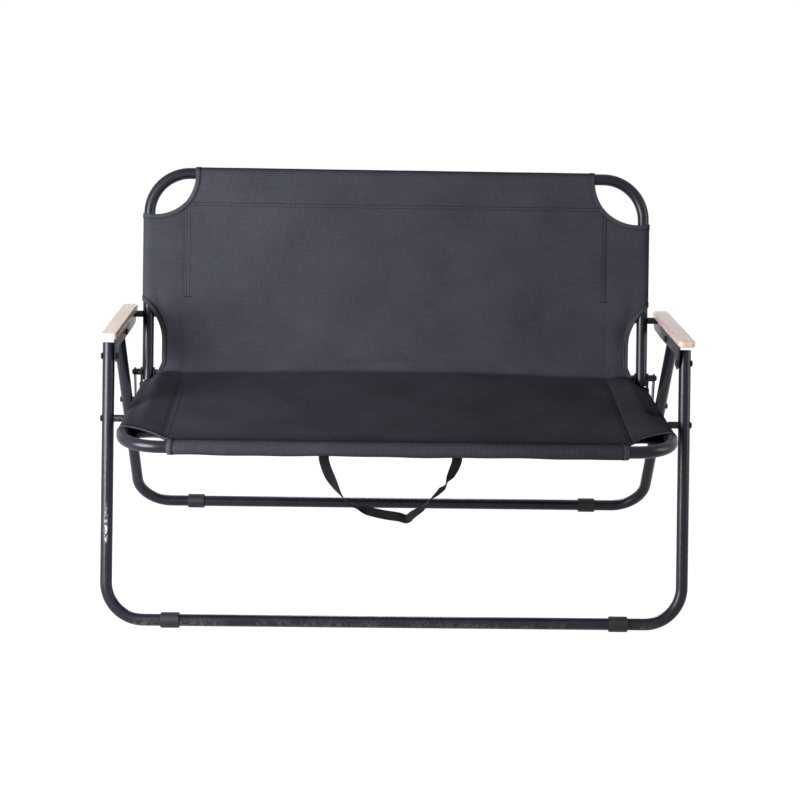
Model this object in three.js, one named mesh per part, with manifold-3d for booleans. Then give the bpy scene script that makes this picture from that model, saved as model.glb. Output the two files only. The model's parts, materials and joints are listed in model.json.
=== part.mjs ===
// A folding two-seat camping bench: round steel tubes bent into four U frames, a fabric sling, and
// two wooden armrests on steel brackets. Millimetres, +Z up, the sitter faces -Y.
// Each U frame is drawn in its own group: the front legs, the rear legs, the seat and the back.

import * as THREE from "three";
import { mergeVertices } from "three/addons/utils/BufferGeometryUtils.js";
import Module from "manifold-3d";

const wasm = await Module();
wasm.setup();

// Overall layout
const legHalfWidth = 530; // centre line to the axes of the leg tubes
const seatInset = 42; // how far the seat and back tubes run inside the leg tubes
const legAxisHeight = 15; // floor to the axis of the legs' floor bars
const legLean = THREE.MathUtils.degToRad(22.5);
const rearLean = THREE.MathUtils.degToRad(22);

// Fold linkage: the front legs, armrests, back and seat form a parallelogram
const seatPivotUp = 369; // floor bar to the seat pivot, along the front leg
const legLinkLength = 114; // seat pivot to armrest pivot, and the same on the back tube
const armLinkLength = 246; // armrest pivot to back pivot, and the same along the seat
const armSlope = THREE.MathUtils.degToRad(1.5);
const hingeRise = 26; // back hinge above the seat tube's axis
const rearPivotAlong = 127; // along the armrest, from its front pivot
const rearPivotAbove = 4;
const linkPivotDown = 182; // from the rear leg's top pivot, along the leg

// Tubes
const tubeRadius = 11;
const tubeWall = 1.2;
const legCorner = 95; // bend radii at the tube's axis
const rearCorner = 100;
const seatCorner = 75;
const backCorner = 80;
const seatFrontReach = 176; // seat pivot forward to the front bar
const backBarUp = 392; // back hinge up to the top bar
const frontLegEnd = 17; // tube past its last pivot
const rearLegEnd = 9.5;
const backTubeEnd = 7;
const seatTubeEnd = 12;

// Fits
const gap = 0.3; // between touching pieces
const overrun = 5; // cuts start and end this far outside

// Plates
const plateThickness = 2.5;
const bracketInset = 12.6; // leg axis to the bracket's outer face
const linkInset = 15.7;
const linkHalfWidth = 9;
const hingePlateRadius = 9.5;

// Fasteners
const shankRadius = 3;
const holeClearance = 0.3;
const headRadius = 6;
const headHeight = 2.6;
const collarRadius = 6;
const spacerRadius = 6.5;
const nutRadius = 5.8;
const nutHeight = 5;
const threadPastNut = 1.7;
const screwRadius = 1.7;
const screwHeadRadius = 3.6;
const screwHeadHeight = 1.8;
const screwDepth = 9;

// Caps and feet
const capThickness = 1.5;
const capDome = 0.5;
const capStemGap = 0.4;
const footLength = 33;
const footInset = 118; // leg tube to the middle of its foot, along the floor bar
const footRingRadius = 14;

// Armrests
const armRise = 29; // front pivot to the wood's underside, square to the wood
const woodDrop = 10; // how much closer the underside is at the back pivot
const woodFront = 45; // wood past the front pivot
const woodRear = 40; // wood past the back pivot
const woodWidth = 32;
const woodInnerEdge = 12; // leg axis to the wood's inner edge
const woodThickness = 14;
const woodCorner = 9;
const woodEdge = 4;
const lobeRadius = 11.5; // bracket round its pivots
const bracketDepth = 27;
const bracketWaist = 72; // where the bracket's lower edge starts to drop to its front lobe
const bracketNeck = 16; // where that edge meets the lobe
const flangeReach = 10; // flange past the leg axis, under the wood
const flangeCorner = 5;
const flangeStart = 8;
const screwAlongShares = [0.24, 0.78]; // of the armrest's pivot distance

// Sling
const cloth = 1.2;
const clothGap = 0.4;
const sideSeam = 71; // tube axis to the sleeve's stitch line
const endSeam = 54; // top bar or front bar to the hem's stitch line
const cornerCutRadius = 79;
const cornerCutInset = 10; // cut's centre, in from the side tube
const cornerCutPast = 6; // cut's centre, past the bar
const sideCutDepth = 28; // D-shaped cut, in from the side tube
const sideCutHalf = 78;
const sideCutUp = 62; // its middle, above the back hinge
const backSag = 12;
const seatSag = 14;
const seatClothRear = 19; // seat cloth's rear edge ahead of the back hinge
const backClothDown = 12; // back cloth's lower edge below the back hinge
const sleeveRearGap = 2; // seat sleeve to the hinge plates
const seamBand = 5; // stitched band where a sleeve closes
const sagColumns = 12;
const sagRows = 8;

// Carry strap
const strapWidth = 18;
const strapThickness = 1.6;
const strapTab = 22; // tab under the front hem, behind the front bar
const strapLeft = -130;
const strapRight = 103;
const strapFall = 134; // from the hem down to the lowest point
const strapSteps = 64;
// The strap's path, as shares of its width and of its fall
const strapRouteShares = [
  [0, 0],
  [0, 0.05],
  [0.02, 0.2],
  [0.055, 0.46],
  [0.13, 0.65],
  [0.2, 0.79],
  [0.31, 0.86],
  [0.42, 0.91],
  [0.54, 0.98],
  [0.64, 1],
  [0.74, 0.92],
  [0.82, 0.73],
  [0.91, 0.37],
  [0.97, 0.18],
  [1, 0.05],
  [1, 0],
];
// Where it turns from flat against the hem to edge on, and back, as shares of its length
const strapTwistShares = { start: 0.1, back: 0.9, steepness: 3.2 };

// Facets
const tubeSides = 16;
const bendSteps = 6;
const roundSides = 12;

const steel = new THREE.MeshStandardMaterial({ color: 0x1d1e21, roughness: 0.38, metalness: 0.55 });
const hardware = new THREE.MeshStandardMaterial({ color: 0x26272a, roughness: 0.45, metalness: 0.8 });
const plastic = new THREE.MeshStandardMaterial({ color: 0x141518, roughness: 0.6, metalness: 0 });
const wood = new THREE.MeshStandardMaterial({ color: 0xd9b592, roughness: 0.55, metalness: 0 });
const canvas = new THREE.MeshStandardMaterial({ color: 0x2c2e34, roughness: 0.9, metalness: 0 });
const webbing = new THREE.MeshStandardMaterial({ color: 0x17181b, roughness: 0.85, metalness: 0 });

const sides = [
  { name: "left", sign: -1 },
  { name: "right", sign: 1 },
];
const bore = shankRadius + holeClearance;
const seatHalfWidth = legHalfWidth - seatInset;
const xAxis = new THREE.Vector3(1, 0, 0);
const yAxis = new THREE.Vector3(0, 1, 0);
const zAxis = new THREE.Vector3(0, 0, 1);

// A closed geometry as a solid that can be joined and cut.
function solidOf(geometry) {
  const bare = geometry.clone();
  bare.deleteAttribute("normal");
  bare.deleteAttribute("uv");
  const merged = mergeVertices(bare, 1e-4);
  return new wasm.Manifold(
    new wasm.Mesh({
      numProp: 3,
      vertProperties: new Float32Array(merged.attributes.position.array),
      triVerts: new Uint32Array(merged.index.array),
    }),
  );
}

function geometryOf(solid) {
  const mesh = solid.getMesh();
  const geometry = new THREE.BufferGeometry();
  geometry.setAttribute("position", new THREE.BufferAttribute(mesh.vertProperties, 3));
  geometry.setIndex(new THREE.BufferAttribute(mesh.triVerts, 1));
  geometry.computeVertexNormals();
  return geometry;
}

function addMesh(group, name, geometry, material) {
  const mesh = new THREE.Mesh(geometry, material);
  mesh.name = name;
  group.add(mesh);
  return mesh;
}

// A path of straight runs and round corners that is sampled only at its own stations.
class StationPath extends THREE.Curve {
  constructor(points, tangents, normals) {
    super();
    this.points = points;
    this.tangents = tangents;
    this.sectionNormals = normals;
  }

  getUtoTmapping(u) {
    return u;
  }

  getPoint(t, target = new THREE.Vector3()) {
    const place = t * (this.points.length - 1);
    const index = Math.min(Math.floor(place + 1e-9), this.points.length - 2);
    return target.lerpVectors(this.points[index], this.points[index + 1], place - index);
  }

  getTangent(t, target = new THREE.Vector3()) {
    return target.copy(this.tangents[Math.round(t * (this.points.length - 1))]);
  }

  computeFrenetFrames(segments, closed) {
    if (!this.sectionNormals) return super.computeFrenetFrames(segments, closed);
    const normals = this.sectionNormals;
    const binormals = normals.map((n, i) => this.tangents[i].clone().cross(n).normalize());
    return { tangents: this.tangents, normals, binormals };
  }
}

function sweep(section, path) {
  return new THREE.ExtrudeGeometry(section, {
    steps: path.points.length - 1,
    extrudePath: path,
    curveSegments: tubeSides / 2,
  });
}

function circle(radius) {
  const shape = new THREE.Shape();
  shape.absarc(0, 0, radius, 0, 2 * Math.PI);
  return shape;
}

// A U in the plane of x and one other axis: a bar across at barAt, and two arms that end at endAt.
function uPath(halfWidth, barAt, endAt, corner, along) {
  const points = [];
  const tangents = [];
  const turn = Math.sign(endAt - barAt);
  const add = (x, a, tx, ta) => {
    points.push(new THREE.Vector3(x, 0, 0).addScaledVector(along, a));
    tangents.push(new THREE.Vector3(tx, 0, 0).addScaledVector(along, ta));
  };
  add(-halfWidth, endAt, 0, -turn);
  for (const sign of [-1, 1]) {
    for (let i = 0; i <= bendSteps; i++) {
      const angle = (Math.PI / 2) * (sign < 0 ? i / bendSteps : 1 - i / bendSteps);
      const x = sign * (halfWidth - corner * (1 - Math.sin(Math.PI / 2 - angle)));
      const a = barAt + turn * corner * (1 - Math.sin(angle));
      add(x, a, Math.sin(angle), sign * turn * Math.cos(angle));
    }
  }
  add(halfWidth, endAt, 0, turn);
  return new StationPath(points, tangents);
}

// Solid cylinder across x, through a point of a side view.
function crossBore(radius, fromX, toX, y, z) {
  const geometry = new THREE.CylinderGeometry(radius, radius, Math.abs(toX - fromX), roundSides);
  geometry.rotateZ(Math.PI / 2);
  geometry.translate((fromX + toX) / 2, y, z);
  return solidOf(geometry);
}

// A bent tube with cross holes at the given places, { at: distance along, from, to: insets }.
function bentTube(path, halfWidth, along, holes) {
  const section = circle(tubeRadius);
  section.holes.push(new THREE.Path().absarc(0, 0, tubeRadius - tubeWall, 0, 2 * Math.PI));
  let tube = solidOf(sweep(section, path));
  for (const at of holes) {
    for (const { sign } of sides) {
      const reach = tubeRadius + overrun;
      const centre = sign * halfWidth;
      const place = along.clone().multiplyScalar(at);
      tube = tube.subtract(crossBore(bore, centre - reach, centre + reach, place.y, place.z));
    }
  }
  return geometryOf(tube);
}

// A turned piece about x. Its profile is [inset, radius] pairs measured inwards from the leg plane.
function turned(profile, sign) {
  const points = profile.map(([inset, radius]) => new THREE.Vector2(radius, inset));
  const geometry = new THREE.LatheGeometry(points, roundSides);
  geometry.rotateZ((sign * Math.PI) / 2);
  geometry.translate(sign * legHalfWidth, 0, 0);
  return geometry;
}

// A pin with a domed head outside headAt, an optional collar, and a plain or riveted far end.
function pin(headAt, height, endAt, sign, collar, rivetHead) {
  const profile = [
    [headAt - height, 0],
    [headAt - height, headRadius - height / 2],
    [headAt - height / 2, headRadius],
    [headAt, headRadius],
    [headAt, shankRadius],
  ];
  if (collar) {
    profile.push([collar.from, shankRadius], [collar.from, collarRadius]);
    profile.push([collar.to, collarRadius], [collar.to, shankRadius]);
  }
  if (rivetHead) {
    profile.push([endAt, shankRadius], [endAt, headRadius]);
    profile.push([endAt + height / 2, headRadius], [endAt + height, headRadius - height / 2]);
    profile.push([endAt + height, 0]);
  } else {
    profile.push([endAt, shankRadius], [endAt, 0]);
  }
  return turned(profile, sign);
}

function sleeveRing(from, to, sign) {
  const profile = [
    [from, bore],
    [from, spacerRadius],
    [to, spacerRadius],
    [to, bore],
    [from, bore],
  ];
  return turned(profile, sign);
}

// Geometry drawn in the side view (shape x is y, shape y is z) and raised along x.
function sidePlate(shape, from, to, sign) {
  const geometry = new THREE.ExtrudeGeometry(shape, {
    depth: to - from,
    bevelEnabled: false,
    curveSegments: roundSides / 2,
  });
  geometry.applyMatrix4(new THREE.Matrix4().makeBasis(yAxis, zAxis, xAxis));
  geometry.translate(sign > 0 ? legHalfWidth - to : from - legHalfWidth, 0, 0);
  return geometry;
}

function hexNut(from, sign) {
  const shape = new THREE.Shape();
  for (let i = 0; i < 6; i++) {
    const angle = (i * Math.PI) / 3;
    shape[i ? "lineTo" : "moveTo"](nutRadius * Math.cos(angle), nutRadius * Math.sin(angle));
  }
  shape.closePath();
  shape.holes.push(new THREE.Path().absarc(0, 0, bore, 0, 2 * Math.PI));
  return sidePlate(shape, from, from + nutHeight, sign);
}

// A plate that runs round two points of the side view, with a bore at each place given.
function stadium(ax, ay, bx, by, radius, bores) {
  const direction = Math.atan2(by - ay, bx - ax);
  const shape = new THREE.Shape();
  shape.absarc(bx, by, radius, direction - Math.PI / 2, direction + Math.PI / 2);
  shape.absarc(ax, ay, radius, direction + Math.PI / 2, direction + (3 * Math.PI) / 2);
  shape.closePath();
  for (const [x, y] of bores) {
    shape.holes.push(new THREE.Path().absarc(x, y, bore, 0, 2 * Math.PI));
  }
  return shape;
}

// A plug in an open tube end, drawn along +y from the tube's end face.
function endCap(stem) {
  const stemRadius = (tubeRadius - tubeWall) * Math.cos(Math.PI / tubeSides) - capStemGap;
  const points = [
    [0, -stem],
    [stemRadius, -stem],
    [stemRadius, gap],
    [tubeRadius, gap],
    [tubeRadius, capThickness - capDome],
    [tubeRadius - capThickness, capThickness],
    [0, capThickness],
  ].map(([radius, at]) => new THREE.Vector2(radius, at));
  return new THREE.LatheGeometry(points, roundSides);
}

function addCaps(group, names, halfWidth, along, at, stem) {
  const turn = new THREE.Quaternion().setFromUnitVectors(yAxis, along);
  for (const { name, sign } of sides) {
    const cap = addMesh(group, names + "_" + name, endCap(stem), plastic);
    cap.quaternion.copy(turn);
    cap.position.set(sign * halfWidth, 0, 0).addScaledVector(along, at);
  }
}

// A moulded foot that snaps round the floor bar and stands on a flat sole.
function addFeet(group, names, lean) {
  const shape = new THREE.Shape();
  const low = THREE.MathUtils.degToRad(-40);
  shape.absarc(0, 0, footRingRadius, low, Math.PI - low);
  shape.lineTo(footRingRadius * Math.cos(Math.PI - low), -legAxisHeight);
  shape.lineTo(footRingRadius * Math.cos(low), -legAxisHeight);
  shape.closePath();
  shape.holes.push(new THREE.Path().absarc(0, 0, tubeRadius + gap, 0, 2 * Math.PI));
  for (const { name, sign } of sides) {
    const geometry = new THREE.ExtrudeGeometry(shape, {
      depth: footLength,
      bevelEnabled: false,
      curveSegments: roundSides,
    });
    geometry.applyMatrix4(new THREE.Matrix4().makeBasis(yAxis, zAxis, xAxis));
    geometry.translate(sign * (legHalfWidth - footInset) - footLength / 2, 0, 0);
    const foot = addMesh(group, names + "_" + name, geometry, plastic);
    foot.rotation.x = lean;
  }
}

// Places of the linkage in the side view, from the front legs' floor bar
const legUp = new THREE.Vector2(Math.sin(legLean), Math.cos(legLean));
const armBack = new THREE.Vector2(Math.cos(armSlope), -Math.sin(armSlope));
const armOut = new THREE.Vector2(Math.sin(armSlope), Math.cos(armSlope));
const seatPivot = legUp.clone().multiplyScalar(seatPivotUp);
const armPivot = legUp.clone().multiplyScalar(seatPivotUp + legLinkLength);
const backHinge = seatPivot.clone().addScaledVector(armBack, armLinkLength);
const rearPivot = armPivot.clone();
rearPivot.addScaledVector(armBack, rearPivotAlong).addScaledVector(armOut, rearPivotAbove);
const rearLegLength = rearPivot.y / Math.cos(rearLean);
const linkPivot = rearPivot.clone();
linkPivot.x += linkPivotDown * Math.sin(rearLean);
linkPivot.y -= linkPivotDown * Math.cos(rearLean);
const seatTilt = armSlope + Math.asin(hingeRise / armLinkLength);
const hingeAlong = Math.sqrt(armLinkLength ** 2 - hingeRise ** 2);

function bodyGroup(at, angle) {
  const group = new THREE.Group();
  group.position.set(0, at.x, at.y);
  group.rotation.x = angle;
  return group;
}

// Where each layer of a side lies, as insets from the leg plane
const tubeInner = tubeRadius + gap;
const bracketInner = bracketInset + plateThickness;
const linkInner = linkInset + plateThickness;
const seatOuter = seatInset - tubeRadius;
const seatInner = seatInset + tubeRadius;
const outerPlate = seatOuter - gap - plateThickness;
const innerPlate = seatInner + gap;
const sleeveOuter = seatOuter - clothGap - cloth;

function frontLegs() {
  const group = bodyGroup(new THREE.Vector2(), -legLean);
  const armPivotUp = seatPivotUp + legLinkLength;
  const end = armPivotUp + frontLegEnd;
  const path = uPath(legHalfWidth, 0, end, legCorner, zAxis);
  const tube = bentTube(path, legHalfWidth, zAxis, [seatPivotUp, armPivotUp]);
  addMesh(group, "front_leg_tube", tube, steel);
  addCaps(group, "front_leg_cap", legHalfWidth, zAxis, end, frontLegEnd - shankRadius - gap);
  addFeet(group, "front_foot", legLean);
  for (const { name, sign } of sides) {
    const nutAt = seatInner + gap;
    const boltEnd = nutAt + nutHeight + threadPastNut;
    const bolt = pin(-tubeInner, headHeight, boltEnd, sign);
    const spacer = sleeveRing(tubeInner, sleeveOuter - gap, sign);
    const rivetEnd = bracketInner + gap;
    const collar = { from: tubeInner, to: bracketInset - gap };
    const rivet = pin(-tubeInner, headHeight, rivetEnd, sign, collar, true);
    addMesh(group, "seat_pivot_bolt_" + name, bolt, hardware).position.z = seatPivotUp;
    addMesh(group, "seat_pivot_spacer_" + name, spacer, hardware).position.z = seatPivotUp;
    addMesh(group, "seat_pivot_nut_" + name, hexNut(nutAt, sign), hardware).position.z = seatPivotUp;
    addMesh(group, "armrest_front_rivet_" + name, rivet, hardware).position.z = armPivotUp;
  }
  return group;
}

function rearLegs() {
  const group = bodyGroup(rearPivot, rearLean);
  const path = uPath(legHalfWidth, -rearLegLength, rearLegEnd, rearCorner, zAxis);
  const tube = bentTube(path, legHalfWidth, zAxis, [0, -linkPivotDown]);
  addMesh(group, "rear_leg_tube", tube, steel);
  addCaps(group, "rear_leg_cap", legHalfWidth, zAxis, rearLegEnd, rearLegEnd - shankRadius - gap);
  const feet = new THREE.Group();
  feet.position.z = -rearLegLength;
  group.add(feet);
  addFeet(feet, "rear_foot", -rearLean);
  for (const { name, sign } of sides) {
    const end = linkInset - gap;
    const collar = { from: tubeInner, to: end };
    const rivet = pin(-tubeInner, headHeight, end, sign, collar);
    addMesh(group, "link_rivet_" + name, rivet, hardware).position.z = -linkPivotDown;
  }
  return group;
}

// The armrest's group lies along the wood, with its origin at the front pivot.
const woodSlope = Math.asin(woodDrop / armLinkLength);
const armTurn = (y, z) =>
  new THREE.Vector2(y, z).rotateAround(new THREE.Vector2(), woodSlope);
const backPivotArm = armTurn(armLinkLength, 0);
const rearPivotArm = armTurn(rearPivotAlong, rearPivotAbove);
const bracketTop = armRise - gap;

function bracketGeometry(sign) {
  const rear = backPivotArm.x + lobeRadius;
  const waistZ = bracketTop - bracketDepth;
  const web = new THREE.Shape();
  web.moveTo(-lobeRadius, bracketTop);
  web.lineTo(-lobeRadius, 0);
  web.absarc(0, 0, lobeRadius, Math.PI, 2 * Math.PI);
  web.quadraticCurveTo(bracketNeck, waistZ, bracketWaist, waistZ);
  web.lineTo(backPivotArm.x, backPivotArm.y - lobeRadius);
  web.absarc(backPivotArm.x, backPivotArm.y, lobeRadius, -Math.PI / 2, 0);
  web.lineTo(rear, bracketTop);
  web.closePath();
  for (const place of [new THREE.Vector2(), rearPivotArm, backPivotArm]) {
    web.holes.push(new THREE.Path().absarc(place.x, place.y, bore, 0, 2 * Math.PI));
  }
  let bracket = solidOf(sidePlate(web, bracketInset, bracketInner, sign));
  const flange = roundedRect(
    -flangeReach,
    bracketInner,
    flangeStart,
    backPivotArm.x - flangeStart,
    flangeCorner,
  );
  const strip = new THREE.ExtrudeGeometry(flange, {
    depth: plateThickness,
    bevelEnabled: false,
    curveSegments: bendSteps / 2,
  });
  placeOverLeg(strip, bracketTop - plateThickness, sign);
  bracket = bracket.add(solidOf(strip));
  for (const share of screwAlongShares) {
    const drill = screwBore(screwRadius + holeClearance, bracketTop - plateThickness, share, sign);
    bracket = bracket.subtract(drill);
  }
  return geometryOf(bracket);
}

// Drawn in plan as (inset, y): set over the leg plane on the given side.
function placeOverLeg(geometry, height, sign) {
  if (sign > 0) geometry.rotateY(Math.PI).translate(0, 0, height + depthOf(geometry));
  else geometry.translate(0, 0, height);
  geometry.translate(sign * legHalfWidth, 0, 0);
}

function depthOf(geometry) {
  geometry.computeBoundingBox();
  return geometry.boundingBox.max.z - geometry.boundingBox.min.z;
}

function roundedRect(x0, x1, y0, y1, radius) {
  const shape = new THREE.Shape();
  shape.absarc(x0 + radius, y0 + radius, radius, Math.PI, 1.5 * Math.PI);
  shape.absarc(x1 - radius, y0 + radius, radius, -Math.PI / 2, 0);
  shape.absarc(x1 - radius, y1 - radius, radius, 0, Math.PI / 2);
  shape.absarc(x0 + radius, y1 - radius, radius, Math.PI / 2, Math.PI);
  shape.closePath();
  return shape;
}

const woodCentre = woodInnerEdge - woodWidth / 2;

function screwPlace(share, sign) {
  return new THREE.Vector2(sign * (legHalfWidth - woodCentre), share * backPivotArm.x);
}

function screwBore(radius, from, share, sign) {
  const length = screwDepth + plateThickness + 2 * overrun;
  const geometry = new THREE.CylinderGeometry(radius, radius, length, roundSides);
  const place = screwPlace(share, sign);
  geometry.rotateX(Math.PI / 2).translate(place.x, place.y, from - overrun + length / 2);
  return solidOf(geometry);
}

function woodGeometry(sign) {
  const outline = roundedRect(
    woodInnerEdge - woodWidth + woodEdge,
    woodInnerEdge - woodEdge,
    -woodFront + woodEdge,
    backPivotArm.x + woodRear - woodEdge,
    woodCorner - woodEdge,
  );
  const slab = new THREE.ExtrudeGeometry(outline, {
    depth: woodThickness - 2 * woodEdge,
    bevelThickness: woodEdge,
    bevelSize: woodEdge,
    bevelSegments: 3,
    curveSegments: bendSteps / 2,
  });
  slab.translate(0, 0, woodEdge);
  placeOverLeg(slab, armRise, sign);
  let block = solidOf(slab);
  for (const share of screwAlongShares) {
    const drill = screwBore(screwRadius + holeClearance, armRise - plateThickness, share, sign);
    block = block.subtract(drill);
  }
  return geometryOf(block);
}

function screwGeometry() {
  const top = plateThickness + gap + screwDepth;
  const points = [
    [0, -screwHeadHeight],
    [screwHeadRadius - screwHeadHeight / 2, -screwHeadHeight],
    [screwHeadRadius, -gap],
    [screwRadius, -gap],
    [screwRadius, top - screwRadius],
    [0, top],
  ].map(([radius, at]) => new THREE.Vector2(radius, at));
  return new THREE.LatheGeometry(points, roundSides).rotateX(Math.PI / 2);
}

function armrest({ name, sign }) {
  const group = bodyGroup(armPivot, -armSlope - woodSlope);
  addMesh(group, "armrest_wood_" + name, woodGeometry(sign), wood);
  addMesh(group, "armrest_bracket_" + name, bracketGeometry(sign), steel);
  screwAlongShares.forEach((share, i) => {
    const screw = addMesh(group, "armrest_screw_" + (i + 1) + "_" + name, screwGeometry(), hardware);
    const place = screwPlace(share, sign);
    screw.position.set(place.x, place.y, bracketTop - plateThickness);
  });
  const rivetEnd = bracketInner + gap;
  const collar = { from: tubeInner, to: bracketInset - gap };
  const rivet = pin(-tubeInner, headHeight, rivetEnd, sign, collar, true);
  const nutAt = seatInner + gap;
  const bolt = pin(bracketInset - gap, headHeight, nutAt + nutHeight + threadPastNut, sign);
  const spacer = sleeveRing(bracketInner + gap, seatOuter - gap, sign);
  const place = (mesh, at) => mesh.position.set(0, at.x, at.y);
  place(addMesh(group, "rear_leg_rivet_" + name, rivet, hardware), rearPivotArm);
  place(addMesh(group, "back_pivot_bolt_" + name, bolt, hardware), backPivotArm);
  place(addMesh(group, "back_pivot_spacer_" + name, spacer, hardware), backPivotArm);
  place(addMesh(group, "back_pivot_nut_" + name, hexNut(nutAt, sign), hardware), backPivotArm);
  return group;
}

// A short plate from the back hinge down to the rear leg, with a rivet head at its lower end.
function link({ name, sign }) {
  const group = bodyGroup(backHinge, 0);
  const dy = linkPivot.x - backHinge.x;
  const dz = linkPivot.y - backHinge.y;
  const plate = stadium(0, 0, dy, dz, linkHalfWidth, [[0, 0]]);
  const head = [
    [linkInset + gap, 0],
    [linkInset + gap, shankRadius],
    [linkInner, shankRadius],
    [linkInner, headRadius],
    [linkInner + headHeight / 2, headRadius],
    [linkInner + headHeight, headRadius - headHeight / 2],
    [linkInner + headHeight, 0],
  ];
  const rivet = turned(head, sign).translate(0, dy, dz);
  const body = solidOf(sidePlate(plate, linkInset, linkInner, sign)).add(solidOf(rivet));
  addMesh(group, "link_plate_" + name, geometryOf(body), steel);
  return group;
}

// The ring of cloth round a bar: a loop that closes at the stitch line. Drawn with the seam at +x.
function sleeveShape(seam, grow) {
  const radius = tubeRadius + clothGap + grow;
  const tip = seam + grow;
  const touch = Math.acos(radius / tip);
  const shape = new THREE.Shape();
  shape.moveTo(tip, 0);
  shape.lineTo(radius * Math.cos(touch), radius * Math.sin(touch));
  shape.absarc(0, 0, radius, touch, 2 * Math.PI - touch);
  shape.closePath();
  return shape;
}

function sleeve(seam, length) {
  const outer = sleeveShape(seam, cloth);
  outer.holes.push(new THREE.Path(sleeveShape(seam - seamBand, 0).getPoints(roundSides / 2)));
  return new THREE.ExtrudeGeometry(outer, {
    depth: length,
    bevelEnabled: false,
    curveSegments: roundSides / 2,
  });
}

// The stretched middle of a sling, hollowed towards its middle.
function panel(halfWidth, from, to, sag) {
  const length = to - from;
  const geometry = new THREE.BoxGeometry(2 * halfWidth, length, 2 * cloth, sagColumns, sagRows);
  const position = geometry.attributes.position;
  for (let i = 0; i < position.count; i++) {
    const across = Math.cos((Math.PI / 2) * (position.getX(i) / halfWidth));
    const along = Math.cos(Math.PI * (position.getY(i) / length));
    position.setZ(i, position.getZ(i) - sag * across * along);
  }
  return geometry.translate(0, (from + to) / 2, 0);
}

// A sling drawn flat as (x, run, out): its bar lies at run = barAt, and its open end at run = openAt.
function sling(barAt, openAt, sleeveEnd, sag, cuts) {
  const half = seatHalfWidth;
  const toBar = Math.sign(barAt - openAt);
  const seamX = half - sideSeam;
  const seamRun = barAt - toBar * endSeam;
  const from = Math.min(openAt, seamRun);
  const to = Math.max(openAt, seamRun);
  let body = solidOf(panel(seamX + cloth, from, to, sag));
  for (const sign of [-1, 1]) {
    const side = sleeve(sideSeam, Math.abs(barAt - sleeveEnd));
    side.rotateX(-Math.PI / 2).translate(0, Math.min(sleeveEnd, barAt), 0);
    if (sign > 0) side.rotateY(Math.PI);
    side.translate(sign * half, 0, 0);
    body = body.add(solidOf(side));
  }
  const hemHalf = seamX + cloth;
  const hem = sleeve(endSeam, 2 * hemHalf);
  hem.translate(0, 0, -hemHalf).rotateZ((-toBar * Math.PI) / 2).rotateY(Math.PI / 2);
  hem.translate(0, barAt, 0);
  body = body.add(solidOf(hem));
  for (const sign of [-1, 1]) {
    const cutX = sign * (half - cornerCutInset);
    body = body.subtract(plugCut(cornerCutRadius, cutX, barAt + toBar * cornerCutPast));
  }
  for (const cut of cuts) body = body.subtract(cut);
  return body;
}

const cutDepth = 4 * (tubeRadius + overrun);

// The D-shaped cut beside the back hinge: an arc above, straight below, drawn for the right side.
function sideCut(sign) {
  const radius = (sideCutHalf ** 2 + sideCutDepth ** 2) / (2 * sideCutDepth);
  const edge = seatHalfWidth - sideCutDepth;
  const shape = new THREE.Shape();
  shape.moveTo(edge, -backClothDown - overrun);
  shape.lineTo(edge + radius, -backClothDown - overrun);
  shape.lineTo(edge + radius, sideCutUp + radius);
  shape.absarc(edge + radius, sideCutUp, radius, Math.PI / 2, Math.PI);
  shape.closePath();
  const geometry = new THREE.ExtrudeGeometry(shape, {
    depth: cutDepth,
    bevelEnabled: false,
    curveSegments: roundSides,
  });
  geometry.translate(0, 0, -cutDepth / 2);
  if (sign < 0) geometry.rotateY(Math.PI);
  return solidOf(geometry);
}

// A cylinder that cuts right through a sling drawn flat.
function plugCut(radius, x, run) {
  const geometry = new THREE.CylinderGeometry(radius, radius, cutDepth, 2 * roundSides);
  geometry.rotateX(Math.PI / 2).translate(x, run, 0);
  return solidOf(geometry);
}

// From the flat drawing to a group whose sling runs along z, with its front towards -y.
function standUp(geometry) {
  geometry.applyMatrix4(
    new THREE.Matrix4().makeBasis(xAxis, zAxis, yAxis.clone().negate()),
  );
  return geometry;
}

function back() {
  const group = bodyGroup(backHinge, -legLean);
  const path = uPath(seatHalfWidth, backBarUp, -backTubeEnd, backCorner, zAxis);
  const tube = bentTube(path, seatHalfWidth, zAxis, [0, legLinkLength]);
  addMesh(group, "back_frame_tube", tube, steel);
  const down = zAxis.clone().negate();
  addCaps(group, "back_frame_cap", seatHalfWidth, down, backTubeEnd, backTubeEnd - shankRadius - gap);
  const cuts = sides.map(({ sign }) => sideCut(sign));
  const clothSolid = sling(backBarUp, -backClothDown, -backClothDown, backSag, cuts);
  addMesh(group, "back_sling", standUp(geometryOf(clothSolid)), canvas);
  return group;
}

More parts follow.
